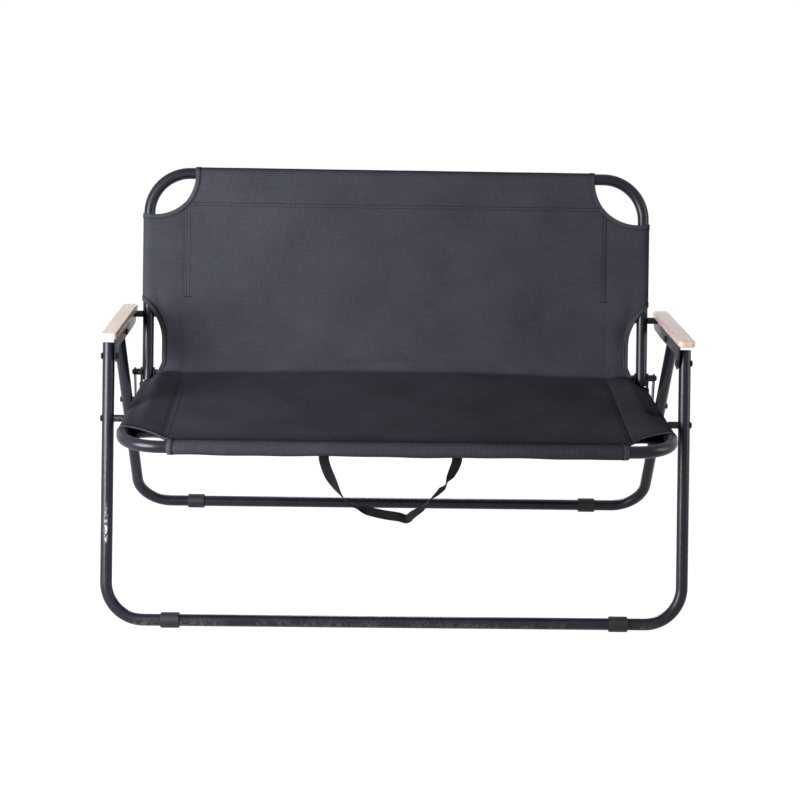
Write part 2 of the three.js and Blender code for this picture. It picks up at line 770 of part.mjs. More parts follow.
function seat() {
  const group = bodyGroup(seatPivot, -seatTilt);
  const front = -seatFrontReach;
  const rear = hingeAlong + seatTubeEnd;
  const path = uPath(seatHalfWidth, front, rear, seatCorner, yAxis);
  const tube = bentTube(path, seatHalfWidth, yAxis, [0, hingeAlong]);
  addMesh(group, "seat_frame_tube", tube, steel);
  addCaps(group, "seat_frame_cap", seatHalfWidth, yAxis, rear, seatTubeEnd - shankRadius - gap);
  const plate = stadium(hingeAlong, 0, hingeAlong, hingeRise, hingePlateRadius, [
    [hingeAlong, 0],
    [hingeAlong, hingeRise],
  ]);
  for (const { name, sign } of sides) {
    const outer = sidePlate(plate, outerPlate, outerPlate + plateThickness, sign);
    const inner = sidePlate(plate, innerPlate, innerPlate + plateThickness, sign);
    addMesh(group, "hinge_plate_outer_" + name, outer, steel);
    addMesh(group, "hinge_plate_inner_" + name, inner, steel);
    const rivetFrom = outerPlate - gap;
    const nutAt = innerPlate + plateThickness + gap;
    const rivet = pin(rivetFrom, headHeight, nutAt, sign, null, true);
    addMesh(group, "hinge_rivet_" + name, rivet, hardware).position.y = hingeAlong;
    const headAt = linkInset - gap;
    const bolt = pin(headAt, headAt - tubeInner, nutAt + nutHeight + threadPastNut, sign);
    const spacer = sleeveRing(linkInner + gap, outerPlate - gap, sign);
    const set = (mesh) => mesh.position.set(0, hingeAlong, hingeRise);
    set(addMesh(group, "hinge_bolt_" + name, bolt, hardware));
    set(addMesh(group, "hinge_spacer_" + name, spacer, hardware));
    set(addMesh(group, "hinge_nut_" + name, hexNut(nutAt, sign), hardware));
  }
  const sleeveEnd = hingeAlong - hingePlateRadius - sleeveRearGap;
  const cuts = sides.map(({ sign }) => {
    const edge = sign * (legHalfWidth - seatInset);
    return crossBore(bore, edge, edge + sign * (tubeRadius + overrun), 0, 0);
  });
  const clothSolid = sling(front, hingeAlong - seatClothRear, sleeveEnd, seatSag, cuts);
  addMesh(group, "seat_sling", geometryOf(clothSolid), canvas);
  addMesh(group, "carry_strap", strapGeometry(), webbing);
  return group;
}

// How far a hem's outer face stands off the line from its bar to its seam, a distance behind the bar.
function hemDepth(behind) {
  const radius = tubeRadius + clothGap + cloth;
  const touch = Math.acos(radius / (endSeam + cloth));
  return (radius - behind * Math.cos(touch)) / Math.sin(touch);
}

// The webbing strap hangs from two tabs under the front hem, and twists on its way down.
function strapGeometry() {
  const down = new THREE.Vector3(0, Math.sin(seatTilt), -Math.cos(seatTilt));
  const top = new THREE.Vector3(0, strapTab - seatFrontReach, -hemDepth(strapTab) - clothGap);
  const places = strapRouteShares.map(([across, fall]) => {
    const place = top.clone().addScaledVector(down, strapFall * fall);
    return place.setX(THREE.MathUtils.lerp(strapLeft, strapRight, across));
  });
  const curve = new THREE.CatmullRomCurve3(places, false, "centripetal");
  const points = curve.getSpacedPoints(strapSteps);
  const tangents = points.map((p, i) => curve.getTangentAt(i / strapSteps));
  const depthAxis = new THREE.Vector3().crossVectors(xAxis, down);
  const { start, back, steepness } = strapTwistShares;
  const normals = tangents.map((tangent, i) => {
    const share = i / strapSteps;
    const nearer = Math.min(share - start, back - share);
    const turn = (Math.PI / 2) * THREE.MathUtils.clamp(steepness * nearer, 0, 1);
    const flat = depthAxis.clone().cross(tangent).normalize();
    return flat.applyAxisAngle(tangent, Math.PI / 2 - turn).normalize();
  });
  const section = new THREE.Shape();
  section.moveTo(-strapThickness / 2, -strapWidth / 2);
  section.lineTo(strapThickness / 2, -strapWidth / 2);
  section.lineTo(strapThickness / 2, strapWidth / 2);
  section.lineTo(-strapThickness / 2, strapWidth / 2);
  section.closePath();
  return sweep(section, new StationPath(points, tangents, normals));
}

const bench = new THREE.Group();
const frame = new THREE.Group();
bench.add(frame);
frame.position.z = legAxisHeight;
frame.add(frontLegs(), rearLegs(), ...sides.map(armrest), ...sides.map(link), back(), seat());

// The origin is on the floor under the middle of the whole bench.
bench.updateMatrixWorld(true);
const bounds = new THREE.Box3().setFromObject(bench, true);
frame.position.x = -(bounds.min.x + bounds.max.x) / 2;
frame.position.y = -(bounds.min.y + bounds.max.y) / 2;

export default bench;
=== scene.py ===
import json
import math

import bpy
import numpy as np
from mathutils import Matrix, Vector


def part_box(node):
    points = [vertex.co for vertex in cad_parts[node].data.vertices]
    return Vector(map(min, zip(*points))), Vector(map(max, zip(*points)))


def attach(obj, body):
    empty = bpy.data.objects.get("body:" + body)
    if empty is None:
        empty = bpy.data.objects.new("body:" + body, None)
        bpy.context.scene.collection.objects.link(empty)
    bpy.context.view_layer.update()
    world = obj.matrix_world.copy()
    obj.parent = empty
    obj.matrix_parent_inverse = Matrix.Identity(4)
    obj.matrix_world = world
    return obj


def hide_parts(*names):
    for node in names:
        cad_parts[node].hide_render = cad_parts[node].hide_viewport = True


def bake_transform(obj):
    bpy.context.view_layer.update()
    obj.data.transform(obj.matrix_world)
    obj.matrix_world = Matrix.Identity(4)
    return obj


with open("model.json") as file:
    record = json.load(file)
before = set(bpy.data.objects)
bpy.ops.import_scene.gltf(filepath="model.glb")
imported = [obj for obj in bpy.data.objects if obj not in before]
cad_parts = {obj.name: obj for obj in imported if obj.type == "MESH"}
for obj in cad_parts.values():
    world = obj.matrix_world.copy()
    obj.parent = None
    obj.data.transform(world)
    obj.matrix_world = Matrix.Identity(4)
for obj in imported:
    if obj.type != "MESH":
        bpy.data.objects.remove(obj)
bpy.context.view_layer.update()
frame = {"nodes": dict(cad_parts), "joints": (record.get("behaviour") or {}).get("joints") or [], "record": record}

# Folding camping loveseat: black tube frames, a charcoal sling, beech armrests and a webbing strap.
# Metres, +Z up, the sitter faces -Y. Left and right are as seen from the front.

mm = 0.001
joints = {joint["name"]: Vector(joint["pos_m"]) for joint in frame["joints"]}


def middleOf(node):
    low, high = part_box(node)
    return (low + high) / 2


# The four U frames are of 22 mm tube
tubes = {
    "radius": 11 * mm,
    "sides": 28,
    "bendSteps": 16,
    "legHalf": 530 * mm,
    "seatHalf": 488 * mm,
}


# Camera, fitted to the tubes in the photograph
photoCamera = {
    "place": (-0.0613, -2.8932, 1.5708),
    "yaw": -1.355,
    "pitch": 22.827,
    "roll": 1.252,
    "focalPixels": 1650.4,
    "framePixels": 800,
    "sensor": 36,
}


def makeCamera():
    data = bpy.data.cameras.new("photoCamera")
    data.sensor_width = photoCamera["sensor"]
    data.lens = photoCamera["focalPixels"] * photoCamera["sensor"] / photoCamera["framePixels"]
    data.clip_end = 100
    obj = bpy.data.objects.new("photoCamera", data)
    bpy.context.scene.collection.objects.link(obj)
    yaw = Matrix.Rotation(math.radians(photoCamera["yaw"]), 4, "Z")
    tilt = Matrix.Rotation(math.radians(90 - photoCamera["pitch"]), 4, "X")
    roll = Matrix.Rotation(math.radians(photoCamera["roll"]), 4, "Z")
    obj.matrix_world = Matrix.Translation(photoCamera["place"]) @ yaw @ tilt @ roll
    bpy.context.scene.camera = obj


makeCamera()
print("camera made")


# Materials. Colours are sRGB hex values, and lengths are turned to noise scales as 1 / length.

def linear(hexColour):
    parts = [int(hexColour[i:i + 2], 16) / 255 for i in (1, 3, 5)]
    return [c / 12.92 if c <= 0.04045 else ((c + 0.055) / 1.055) ** 2.4 for c in parts] + [1]


def addNode(tree, kind, inputs=None, output=0, **settings):
    node = tree.nodes.new("ShaderNode" + kind)
    for name, value in settings.items():
        setattr(node, name, value)
    for socket, value in (inputs or {}).items():
        if isinstance(value, bpy.types.NodeSocket):
            tree.links.new(value, node.inputs[socket])
        else:
            node.inputs[socket].default_value = value
    return node.outputs[output] if node.outputs else node


def newMaterial(name):
    material = bpy.data.materials.new(name)
    material.use_nodes = True
    material.node_tree.nodes.clear()
    return material, material.node_tree


colourMix = {"output": 2, "data_type": "RGBA"}  # a Mix node takes its share at 0 and its colours at 6 and 7


# A cloudy share between 0 and 1, from noise of the given feature size. The looks hold its size, its
# detail, the noise values where it starts and is full, and its highest share, in this order.
def cloudy(tree, place, size, detail=2, low=0.3, high=0.7, top=1.0):
    noise = addNode(tree, "TexNoise", {"Vector": place, "Scale": 1 / size, "Detail": detail})
    return addNode(tree, "MapRange", {"Value": noise, "From Min": low, "From Max": high, "To Max": top})


def finish(tree, colour, rough, height, bump, **more):
    relief, depth = bump
    normal = addNode(tree, "Bump", {"Height": height, "Strength": relief, "Distance": depth})
    inputs = {"Base Color": colour, "Roughness": rough, "Normal": normal}
    inputs.update({name.replace("_", " "): value for name, value in more.items()})
    shader = addNode(tree, "BsdfPrincipled", inputs)
    addNode(tree, "OutputMaterial", {"Surface": shader})


# Satin black powder coat on mild steel tube, sprayed and baked: a slight orange peel and soft streaks of
# light. The front legs have grey-green scuffs under the floor bar, and bright grey specks in a narrow
# band low on the front line of the left leg.
powderCoat = {
    "black": "#12131b",
    "cloudyBlack": "#1a1b25",
    "bare": "#b0b1b4",
    "scuffed": "#4c5149",
    "rough": (0.26, 0.35),
    "specular": 0.21,
    "scuffAndSpeckRough": 0.3,  # more where it is scuffed or specked
    "cloud": (60 * mm, 3),
    "peel": (1.6 * mm, 1),
    "bump": (0.15, 0.1 * mm),
    "speck": (2.2 * mm, 4, 0.46, 0.58),
    "speckStretch": 3,
    "speckBand": (0.148, 0.156, 0.175, 0.22),  # heights where the specks start, are thickest and end
    "speckStripe": (0.5 * mm, 4 * mm),  # and how far to each side of the tube's front line
    "lump": (12 * mm, 2),
    "lumpShare": 9,  # times the orange peel's height, on the front legs
    "patch": (45 * mm, 2, 0.4, 0.55),
    "scuff": (5 * mm, 6, 0.42, 0.62),
    "scuffHeights": (6 * mm, 24 * mm),  # full below the first, gone above the second
}


def makePowderCoat(name, scuffed):
    material, tree = newMaterial(name)
    place = addNode(tree, "TexCoord", output="Object")
    cloud = cloudy(tree, place, *powderCoat["cloud"])
    under, over = linear(powderCoat["black"]), linear(powderCoat["cloudyBlack"])
    colour = addNode(tree, "Mix", {0: cloud, 6: under, 7: over}, **colourMix)
    low, high = powderCoat["rough"]
    rough = addNode(tree, "MapRange", {"Value": cloud, "To Min": low, "To Max": high})
    if scuffed:
        height = addNode(tree, "SeparateXYZ", {"Vector": place}, "Z")
        full, gone = powderCoat["scuffHeights"]
        floorward = addNode(tree, "MapRange", {
            "Value": height, "From Min": full, "From Max": gone, "To Min": 1.0, "To Max": 0.0})
        smears = cloudy(tree, place, *powderCoat["scuff"])
        patches = cloudy(tree, place, *powderCoat["patch"])
        smeared = addNode(tree, "Math", {0: smears, 1: patches}, operation="MULTIPLY")
        smeared = addNode(tree, "Math", {0: smeared, 1: floorward}, operation="MULTIPLY")
        colour = addNode(tree, "Mix", {0: smeared, 6: colour, 7: linear(powderCoat["scuffed"])}, **colourMix)
        # Bright grey specks, stretched upright, in a narrow band low on the left leg's front line, which also make
        # it rougher
        start, thick, thin, end = powderCoat["speckBand"]
        rise = addNode(tree, "MapRange", {"Value": height, "From Min": start, "From Max": thick})
        fall = addNode(tree, "MapRange", {"Value": height, "From Min": end, "From Max": thin})
        band = addNode(tree, "Math", {0: rise, 1: fall}, operation="MULTIPLY")
        sideward = addNode(tree, "SeparateXYZ", {"Vector": place}, "X")
        aside = addNode(tree, "Math", {0: sideward, 1: tubes["legHalf"]}, operation="ADD")
        aside = addNode(tree, "Math", {0: aside}, operation="ABSOLUTE")
        near, far = powderCoat["speckStripe"]
        stripe = addNode(tree, "MapRange", {"Value": aside, "From Min": far, "From Max": near})
        upright = (1, 1, 1 / powderCoat["speckStretch"])
        stretched = addNode(tree, "Mapping", {"Vector": place, "Scale": upright})
        specks = cloudy(tree, stretched, *powderCoat["speck"])
        specked = addNode(tree, "Math", {0: specks, 1: stripe}, operation="MULTIPLY")
        specked = addNode(tree, "Math", {0: specked, 1: band}, operation="MULTIPLY")
        colour = addNode(tree, "Mix", {0: specked, 6: colour, 7: linear(powderCoat["bare"])}, **colourMix)
        scuffedOrSpecked = addNode(tree, "Math", {0: smeared, 1: specked}, operation="MAXIMUM")
        wear = {0: scuffedOrSpecked, 1: powderCoat["scuffAndSpeckRough"], 2: rough}
        rough = addNode(tree, "Math", wear, operation="MULTIPLY_ADD")
    peel = cloudy(tree, place, *powderCoat["peel"])
    if scuffed:
        lump = cloudy(tree, place, *powderCoat["lump"])
        lumpy = {0: lump, 1: powderCoat["lumpShare"], 2: peel}
        peel = addNode(tree, "Math", lumpy, operation="MULTIPLY_ADD")
    finish(tree, colour, rough, peel, powderCoat["bump"], Specular_IOR_Level=powderCoat["specular"])
    return material


# Blackened steel fasteners: black oxide over turned steel, rubbed bright on the edges.
blackenedSteel = {
    "oxide": "#26272a", "bright": "#6f6f6c", "rough": (0.34, 0.5),
    "wear": (2.5 * mm, 3, 0.6, 0.8), "turning": 0.5 * mm, "bump": (0.2, 0.05 * mm), "metallic": 0.85,
}


def makeBlackenedSteel():
    material, tree = newMaterial("blackenedSteel")
    place = addNode(tree, "TexCoord", output="Object")
    wear = cloudy(tree, place, *blackenedSteel["wear"])
    under, over = linear(blackenedSteel["oxide"]), linear(blackenedSteel["bright"])
    colour = addNode(tree, "Mix", {0: wear, 6: under, 7: over}, **colourMix)
    low, high = blackenedSteel["rough"]
    rough = addNode(tree, "MapRange", {"Value": wear, "To Min": high, "To Max": low})
    turning = cloudy(tree, place, blackenedSteel["turning"])
    finish(tree, colour, rough, turning, blackenedSteel["bump"], Metallic=blackenedSteel["metallic"])
    return material


# Injection-moulded polypropylene for the caps and feet: matt black, spark-eroded grain, a little dust.
mouldedPlastic = {
    "black": "#121317", "dusty": "#1e1f23", "rough": (0.5, 0.66), "specular": 0.25,
    "dust": (18 * mm, 4), "grain": 0.8 * mm, "bump": (0.35, 0.08 * mm),
}


def makeMouldedPlastic():
    material, tree = newMaterial("mouldedPolypropylene")
    place = addNode(tree, "TexCoord", output="Object")
    dust = cloudy(tree, place, *mouldedPlastic["dust"])
    under, over = linear(mouldedPlastic["black"]), linear(mouldedPlastic["dusty"])
    colour = addNode(tree, "Mix", {0: dust, 6: under, 7: over}, **colourMix)
    low, high = mouldedPlastic["rough"]
    rough = addNode(tree, "MapRange", {"Value": dust, "To Min": low, "To Max": high})
    grain = cloudy(tree, place, mouldedPlastic["grain"])
    specular = mouldedPlastic["specular"]
    finish(tree, colour, rough, grain, mouldedPlastic["bump"], Specular_IOR_Level=specular)
    return material


# Varnished beech: pale pinkish wood, straight grain along the rail, short dark ray flecks, thin satin
# varnish. The grain's lines are drawn 5 mm apart, wider than the real 1 to 2 mm, or they wouldn't show.
beech = {
    "pale": "#d9c1b8", "grain": "#c49c8d", "fleck": "#96705e",
    "line": (5 * mm, 3, 0.38, 0.68, 0.7), "board": (26 * mm, 2, 0.4, 0.62, 0.5),
    "flecks": (1.4 * mm, 1, 0.68, 0.76, 0.5), "grainStretch": 16, "fleckStretch": 5,
    "rough": (0.36, 0.5), "bump": (0.15, 0.12 * mm), "coat": 0.9, "coatRough": 0.25,
}


def makeBeech():
    material, tree = newMaterial("varnishedBeech")
    place = addNode(tree, "TexCoord", output="Object")
    alongGrain = (1, 1 / beech["grainStretch"], 1)
    alongFleck = (1, 1 / beech["fleckStretch"], 1)
    grainPlace = addNode(tree, "Mapping", {"Vector": place, "Scale": alongGrain})
    fleckPlace = addNode(tree, "Mapping", {"Vector": place, "Scale": alongFleck})
    lines = cloudy(tree, grainPlace, *beech["line"])
    board = cloudy(tree, grainPlace, *beech["board"])
    tone = addNode(tree, "Math", {0: lines, 1: board}, operation="MAXIMUM")
    under, over = linear(beech["pale"]), linear(beech["grain"])
    colour = addNode(tree, "Mix", {0: tone, 6: under, 7: over}, **colourMix)
    flecks = cloudy(tree, fleckPlace, *beech["flecks"])
    colour = addNode(tree, "Mix", {0: flecks, 6: colour, 7: linear(beech["fleck"])}, **colourMix)
    low, high = beech["rough"]
    rough = addNode(tree, "MapRange", {"Value": tone, "To Min": low, "To Max": high})
    coat = {"Coat_Weight": beech["coat"], "Coat_Roughness": beech["coatRough"]}
    finish(tree, colour, rough, lines, beech["bump"], **coat)
    return material


# Woven polyester: yarns over and under, quite matt. "flat" is a mesh attribute with the
# place on the flat cut in metres, so the yarns follow the cloth round its bars. The real canvas has a
# yarn every 0.6 mm; it is drawn every 4 mm, because a finer one wouldn't show at this size.
canvasLook = {
    "dark": "#2e2f35", "light": "#36373e", "yarnTop": "#50515a",
    "yarn": 4.0 * mm, "sway": {"Distortion": 0.5, "Detail": 1.0}, "ribs": 0.35, "contrast": 0.16,
    "cloud": (110 * mm, 4), "slub": (2.2 * mm, 2, 0.5, 0.72, 0.2), "slubLength": 26 * mm,
    "rough": (0.74, 0.86), "bump": (0.25, 0.25 * mm), "specular": 0.0,
    "hemRibs": 0.35,  # dark ribs on the front hem
}
# The binding is a plain polyester tape, greyer and a little lighter than the canvas, with ribs across it.
tapeLook = dict(canvasLook, dark="#33353a", light="#3d3f43", yarnTop="#4e5055", yarn=2.4 * mm, ribs=1.0)
# The strap is black polypropylene webbing with a heavy ribbed face.
webbingLook = dict(
    canvasLook, dark="#0e0e11", light="#16161a", yarnTop="#2c2c32", yarn=3.2 * mm, ribs=1.2,
    bump=(0.7, 0.25 * mm), cloud=(30 * mm, 4), specular=0.1)
# The seams are sewn with dark twisted polyester thread. A nearly unbroken row of it just past the binding's inner
# edge is partly stitching and partly painted shade: the shadow line of the tape's raised edge.
threadLook = dict(canvasLook, dark="#17171a", light="#1f1f23", yarnTop="#34343a", yarn=0.8 * mm)
waveTurn = 0.314159  # Blender's wave texture turns once in this length at scale 1
hemMark = 0.05  # the third flat coordinate is above this on the front hem


def makeWoven(name, look):
    material, tree = newMaterial(name)
    flat = addNode(tree, "Attribute", output="Vector", attribute_name="flat")
    yarns = []
    for direction in ("X", "Y"):
        wave = dict(look["sway"], Vector=flat, Scale=waveTurn / look["yarn"])
        yarns.append(addNode(tree, "TexWave", wave, "Fac", bands_direction=direction))
    weave = addNode(tree, "Math", {0: yarns[0], 1: yarns[1]}, operation="MULTIPLY")
    ribbed = addNode(tree, "Math", {0: yarns[0], 1: look["ribs"], 2: weave}, operation="MULTIPLY_ADD")
    cloud = cloudy(tree, flat, *look["cloud"])
    shorter = look["slub"][0] / look["slubLength"]
    slubs = 0
    for stretch in ((shorter, 1, 1), (1, shorter, 1)):
        slubPlace = addNode(tree, "Mapping", {"Vector": flat, "Scale": stretch})
        thick = cloudy(tree, slubPlace, *look["slub"])
        slubs = addNode(tree, "Math", {0: slubs, 1: thick}, operation="MAXIMUM")
    colour = addNode(tree, "Mix", {0: cloud, 6: linear(look["dark"]), 7: linear(look["light"])}, **colourMix)
    shown = addNode(tree, "Math", {0: weave, 1: look["contrast"]}, operation="MULTIPLY")
    shown = addNode(tree, "Math", {0: shown, 1: slubs}, operation="MAXIMUM")
    colour = addNode(tree, "Mix", {0: shown, 6: colour, 7: linear(look["yarnTop"])}, **colourMix)
    hem = addNode(tree, "SeparateXYZ", {"Vector": flat}, "Z")
    hem = addNode(tree, "Math", {0: hem, 1: hemMark}, operation="GREATER_THAN")
    shade = addNode(tree, "Math", {0: yarns[0], 1: look["hemRibs"]}, operation="MULTIPLY")
    shade = addNode(tree, "Math", {0: shade, 1: hem}, operation="MULTIPLY")
    colour = addNode(tree, "Mix", {0: shade, 6: colour, 7: (0, 0, 0, 1)}, **colourMix)
    low, high = look["rough"]
    rough = addNode(tree, "MapRange", {"Value": cloud, "To Min": low, "To Max": high})
    finish(tree, colour, rough, ribbed, look["bump"], Specular_IOR_Level=look["specular"])
    return material


materials = {
    "scuffedPowderCoat": makePowderCoat("scuffedPowderCoat", True),
    "powderCoat": makePowderCoat("satinPowderCoat", False),
    "blackenedSteel": makeBlackenedSteel(),
    "mouldedPlastic": makeMouldedPlastic(),
    "beech": makeBeech(),
    "canvas": makeWoven("polyesterCanvas", canvasLook),
    "tape": makeWoven("bindingTape", tapeLook),
    "webbing": makeWoven("polypropyleneWebbing", webbingLook),
    "thread": makeWoven("sewingThread", threadLook),
}

slotLooks = {
    "powder_coated_steel": "powderCoat",
    "blackened_hardware": "blackenedSteel",
    "black_plastic": "mouldedPlastic",
    "beech_wood": "beech",
    "polyester_canvas": "canvas",
    "strap_webbing": "webbing",
}


def dressFrame():
    for part in frame["record"]["subparts"]:
        obj = frame["nodes"][part["node"]]
        obj.data.materials.clear()
        obj.data.materials.append(materials[slotLooks[part["material_slot"]]])


dressFrame()
print("materials made")


# Mesh helpers

across = Vector((1, 0, 0))
sharpAngle = math.radians(35)  # edges that turn further than this show sharp


def makeMesh(name, points, faces, look, flat=None):
    data = bpy.data.meshes.new(name)
    data.from_pydata([tuple(p) for p in points], [], [tuple(f) for f in faces])
    data.validate()
    data.shade_smooth()
    obj = bpy.data.objects.new(name, data)
    bpy.context.scene.collection.objects.link(obj)
    data.materials.append(materials[look])
    if flat is not None:
        attribute = data.attributes.new("flat", "FLOAT_VECTOR", "POINT")
        attribute.data.foreach_set("vector", np.asarray(flat, np.float32).ravel())
    return obj


# Faces that join rings of points, each to the next. Turned rings run the other way round.
def ringFaces(size, count, turned=False, closed=True):
    faces = []
    for ring in range(count - 1):
        a, b = ring * size, (ring + 1) * size
        for i in range(size):
            j = (i + 1) % size
            faces.append((a + i, b + i, b + j, a + j) if turned else (a + i, a + j, b + j, b + i))
    first = tuple(range(size))
    last = tuple((count - 1) * size + i for i in range(size))
    if closed:
        faces += [first, last[::-1]] if turned else [first[::-1], last]
    return faces


# Tubes: four U frames. Each is swept along its own line, finer than the CAD solid it stands for.

def uLine(half, barAt, endAt, corner):
    turn = math.copysign(1, endAt - barAt)
    line = [(-half, endAt, 0, -turn)]
    for sign in (-1, 1):
        for i in range(tubes["bendSteps"] + 1):
            share = i / tubes["bendSteps"]
            angle = math.pi / 2 * (share if sign < 0 else 1 - share)
            x = sign * (half - corner * (1 - math.cos(angle)))
            along = barAt + turn * corner * (1 - math.sin(angle))
            line.append((x, along, math.sin(angle), sign * turn * math.cos(angle)))
    line.append((half, endAt, 0, turn))
    return line


def makeTube(name, node, body, look, half, barAt, endAt, corner, origin, along):
    out = across.cross(along)
    points = []
    sides = tubes["sides"]
    line = uLine(half, barAt, endAt, corner)
    for x, run, dx, dRun in line:
        centre = origin + across * x + along * run
        tangent = across * dx + along * dRun
        inPlane = tangent.cross(out)
        for i in range(sides):
            angle = 2 * math.pi * i / sides
            points.append(centre + tubes["radius"] * (out * math.cos(angle) + inPlane * math.sin(angle)))
    faces = ringFaces(sides, len(line), turned=True)
    tube = makeMesh(name, points, faces, look)
    tube.data.set_sharp_from_angle(angle=sharpAngle)
    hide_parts(node)
    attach(tube, body)
    return tube


# Directions of the frames in the side view
hingeRivet = middleOf("hinge_rivet_left")
backPivot = middleOf("back_pivot_nut_left")
frontBar = middleOf("front_foot_left")
rearBar = middleOf("rear_foot_left")


def sideView(point):
    return Vector((0, point.y, point.z))


seatPivot = sideView(joints["seat_fold"])
backHinge = sideView(joints["back_fold"])
armPivot = sideView(joints["armrest_left_fold"])
rearPivot = sideView(joints["rear_leg_fold"])
legUp = (armPivot - seatPivot).normalized()
backUp = (sideView(backPivot) - backHinge).normalized()
seatBack = (sideView(hingeRivet) - seatPivot).normalized()
linkPivot = sideView(middleOf("link_rivet_left"))
rearUp = (rearPivot - linkPivot).normalized()
legAxisHeight = 15 * mm

uFrames = {
    "frontLegs": {"barUp": 369 * mm, "past": 137.3 * mm, "corner": 69 * mm},
    "rearLegs": {"past": 9.5 * mm, "corner": 67 * mm},
    "seat": {"reach": 176 * mm, "past": 12 * mm, "corner": 75 * mm},
    "back": {"barUp": 392 * mm, "past": 16 * mm, "corner": 80 * mm},
}


def makeFrames():
    front = uFrames["frontLegs"]
    makeTube(
        "frontLegTube", "front_leg_tube", "front_leg", "scuffedPowderCoat", tubes["legHalf"],
        -front["barUp"], front["past"], front["corner"], seatPivot, legUp)
    rear = uFrames["rearLegs"]
    rearLength = (rearPivot.z - legAxisHeight) / rearUp.z
    makeTube(
        "rearLegTube", "rear_leg_tube", "rear_leg", "powderCoat", tubes["legHalf"],
        -rearLength, rear["past"], rear["corner"], rearPivot, rearUp)
    seat = uFrames["seat"]
    hingeAlong = (sideView(hingeRivet) - seatPivot).length
    makeTube(
        "seatFrameTube", "seat_frame_tube", "seat", "powderCoat", tubes["seatHalf"],
        -seat["reach"], hingeAlong + seat["past"], seat["corner"], seatPivot, seatBack)
    back = uFrames["back"]
    makeTube(
        "backFrameTube", "back_frame_tube", "back", "powderCoat", tubes["seatHalf"],
        back["barUp"], -back["past"], back["corner"], backHinge, backUp)


# The front legs stand 6.3 mm taller than the CAD tubes, as in the photograph, so their end plugs are new too
# Each ring is a radius and a height over the tube's end, in mm
plug = {"sides": 28, "rings": ((11, -0.1), (11, 1), (10.6, 1.35), (9.5, 1.5), (1, 1.6))}


def makePlugs():
    out = across.cross(legUp)
    end = seatPivot + legUp * uFrames["frontLegs"]["past"]
    for side in ("left", "right"):
        node = "front_leg_cap_" + side
        centre = end + across * math.copysign(tubes["legHalf"], middleOf(node).x)
        points = []
        sides = plug["sides"]
        for radius, height in plug["rings"]:
            for i in range(sides):
                angle = 2 * math.pi * i / sides
                spoke = across * math.cos(angle) + out * math.sin(angle)
                points.append(centre + spoke * radius * mm + legUp * height * mm)
        faces = ringFaces(sides, len(plug["rings"]), turned=True)
        cap = makeMesh("legPlug_" + side, points, faces, "mouldedPlastic")
        cap.data.set_sharp_from_angle(angle=sharpAngle)
        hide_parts(node)
        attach(cap, "front_leg")


# The feet are plain rings on the floor bars, as in the photograph, and have no flat sole. Each ring is
# a place along the bar and a radius, in mm.
foot = {"sides": 28, "rings": ((-17, 11.1), (-17, 13.4), (-16, 14.4), (16, 14.4), (17, 13.4), (17, 11.1))}


def makeFeet():
    sides = foot["sides"]
    for body in ("front_leg", "rear_leg"):
        for side in ("left", "right"):
            node = body.replace("_leg", "_foot_") + side
            middle = middleOf(node)
            points = []
            for x, radius in foot["rings"]:
                for i in range(sides):
                    angle = 2 * math.pi * i / sides
                    y, z = radius * math.cos(angle), radius * math.sin(angle)
                    points.append(Vector((middle.x + x * mm, middle.y + y * mm, legAxisHeight + z * mm)))
            faces = ringFaces(sides, len(foot["rings"]), closed=False)
            footRing = makeMesh("footRing_" + node, points, faces, "mouldedPlastic")
            footRing.data.set_sharp_from_angle(angle=sharpAngle)
            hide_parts(node)
            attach(footRing, body)


makeFrames()
makePlugs()
makeFeet()
print("tubes made")


# Armrests: a beech rail on a bent steel bracket over the top of the leg. They stand where the photograph
# has them, lower at the back and higher at the front than the CAD solids they stand for. Lengths run
# along the line from the front pivot to the back pivot, heights square to it, widths from the middle.
armAlong = (sideView(backPivot) - armPivot).normalized()
armUp = Vector((0, -armAlong.z, armAlong.y))
armrest = {
    "front": -57 * mm, "rear": 234 * mm, "inner": 505.5 * mm, "outer": 535.5 * mm,
    "rise": 43 * mm,  # of the rail's underside over the front pivot
    "slope": -0.129,
    "thickness": 12.2 * mm, "corner": 8 * mm, "cornerSteps": 8, "edge": 3 * mm, "edgeSteps": 4,
    "plateInner": 514.9 * mm, "plate": 2.5 * mm, "bend": 3.5 * mm, "gap": 0.2 * mm,
    "flangeFront": -8 * mm, "flangeRear": 224 * mm, "flangeOuter": 531 * mm,
    "screws": (49 * mm, 197 * mm), "screwHead": 4 * mm, "screwHeight": 2 * mm, "screwSides": 16,
    "screwDome": ((1, 0), (0.97, 0.35), (0.8, 0.75), (0.5, 0.95), (0.2, 1)),  # shares of both
    "rim": 1 * mm,  # a ring inside each edge, which keeps the flats flat
    "webTopInset": 12 * mm, "bendSteps": 6,
}
bracketOutline = {
    "rearLobe": (248, -5, 14, 60, -95),
    "lowerEdge": [(190, -13.5), (130, -5.5), (80, 2), (44, 7), (28, 7), (18, 3.5), (12.5, -2)],
    "frontLobe": (0, 0, 11, -30, -180),
    "arcSteps": 14,
}


def underside(run):
    return armrest["rise"] + armrest["slope"] * run


# Lofts rings of (width, run, height) on one side of the bench, with both ends closed
def makeLoft(name, sign, rings, look):
    points = []
    for ring in rings:
        for x, run, height in ring:
            points.append(armPivot + Vector((sign * x, 0, 0)) + armAlong * run + armUp * height)
    faces = ringFaces(len(rings[0]), len(rings))
    if sign > 0:
        faces = [face[::-1] for face in faces]
    loft = makeMesh(name, points, faces, look)
    loft.data.set_sharp_from_angle(angle=sharpAngle)
    return loft


def arc(x, y, radius, start, end, steps):
    angles = np.radians(np.linspace(start, end, steps + 1))
    return [(x + radius * math.cos(a), y + radius * math.sin(a)) for a in angles]


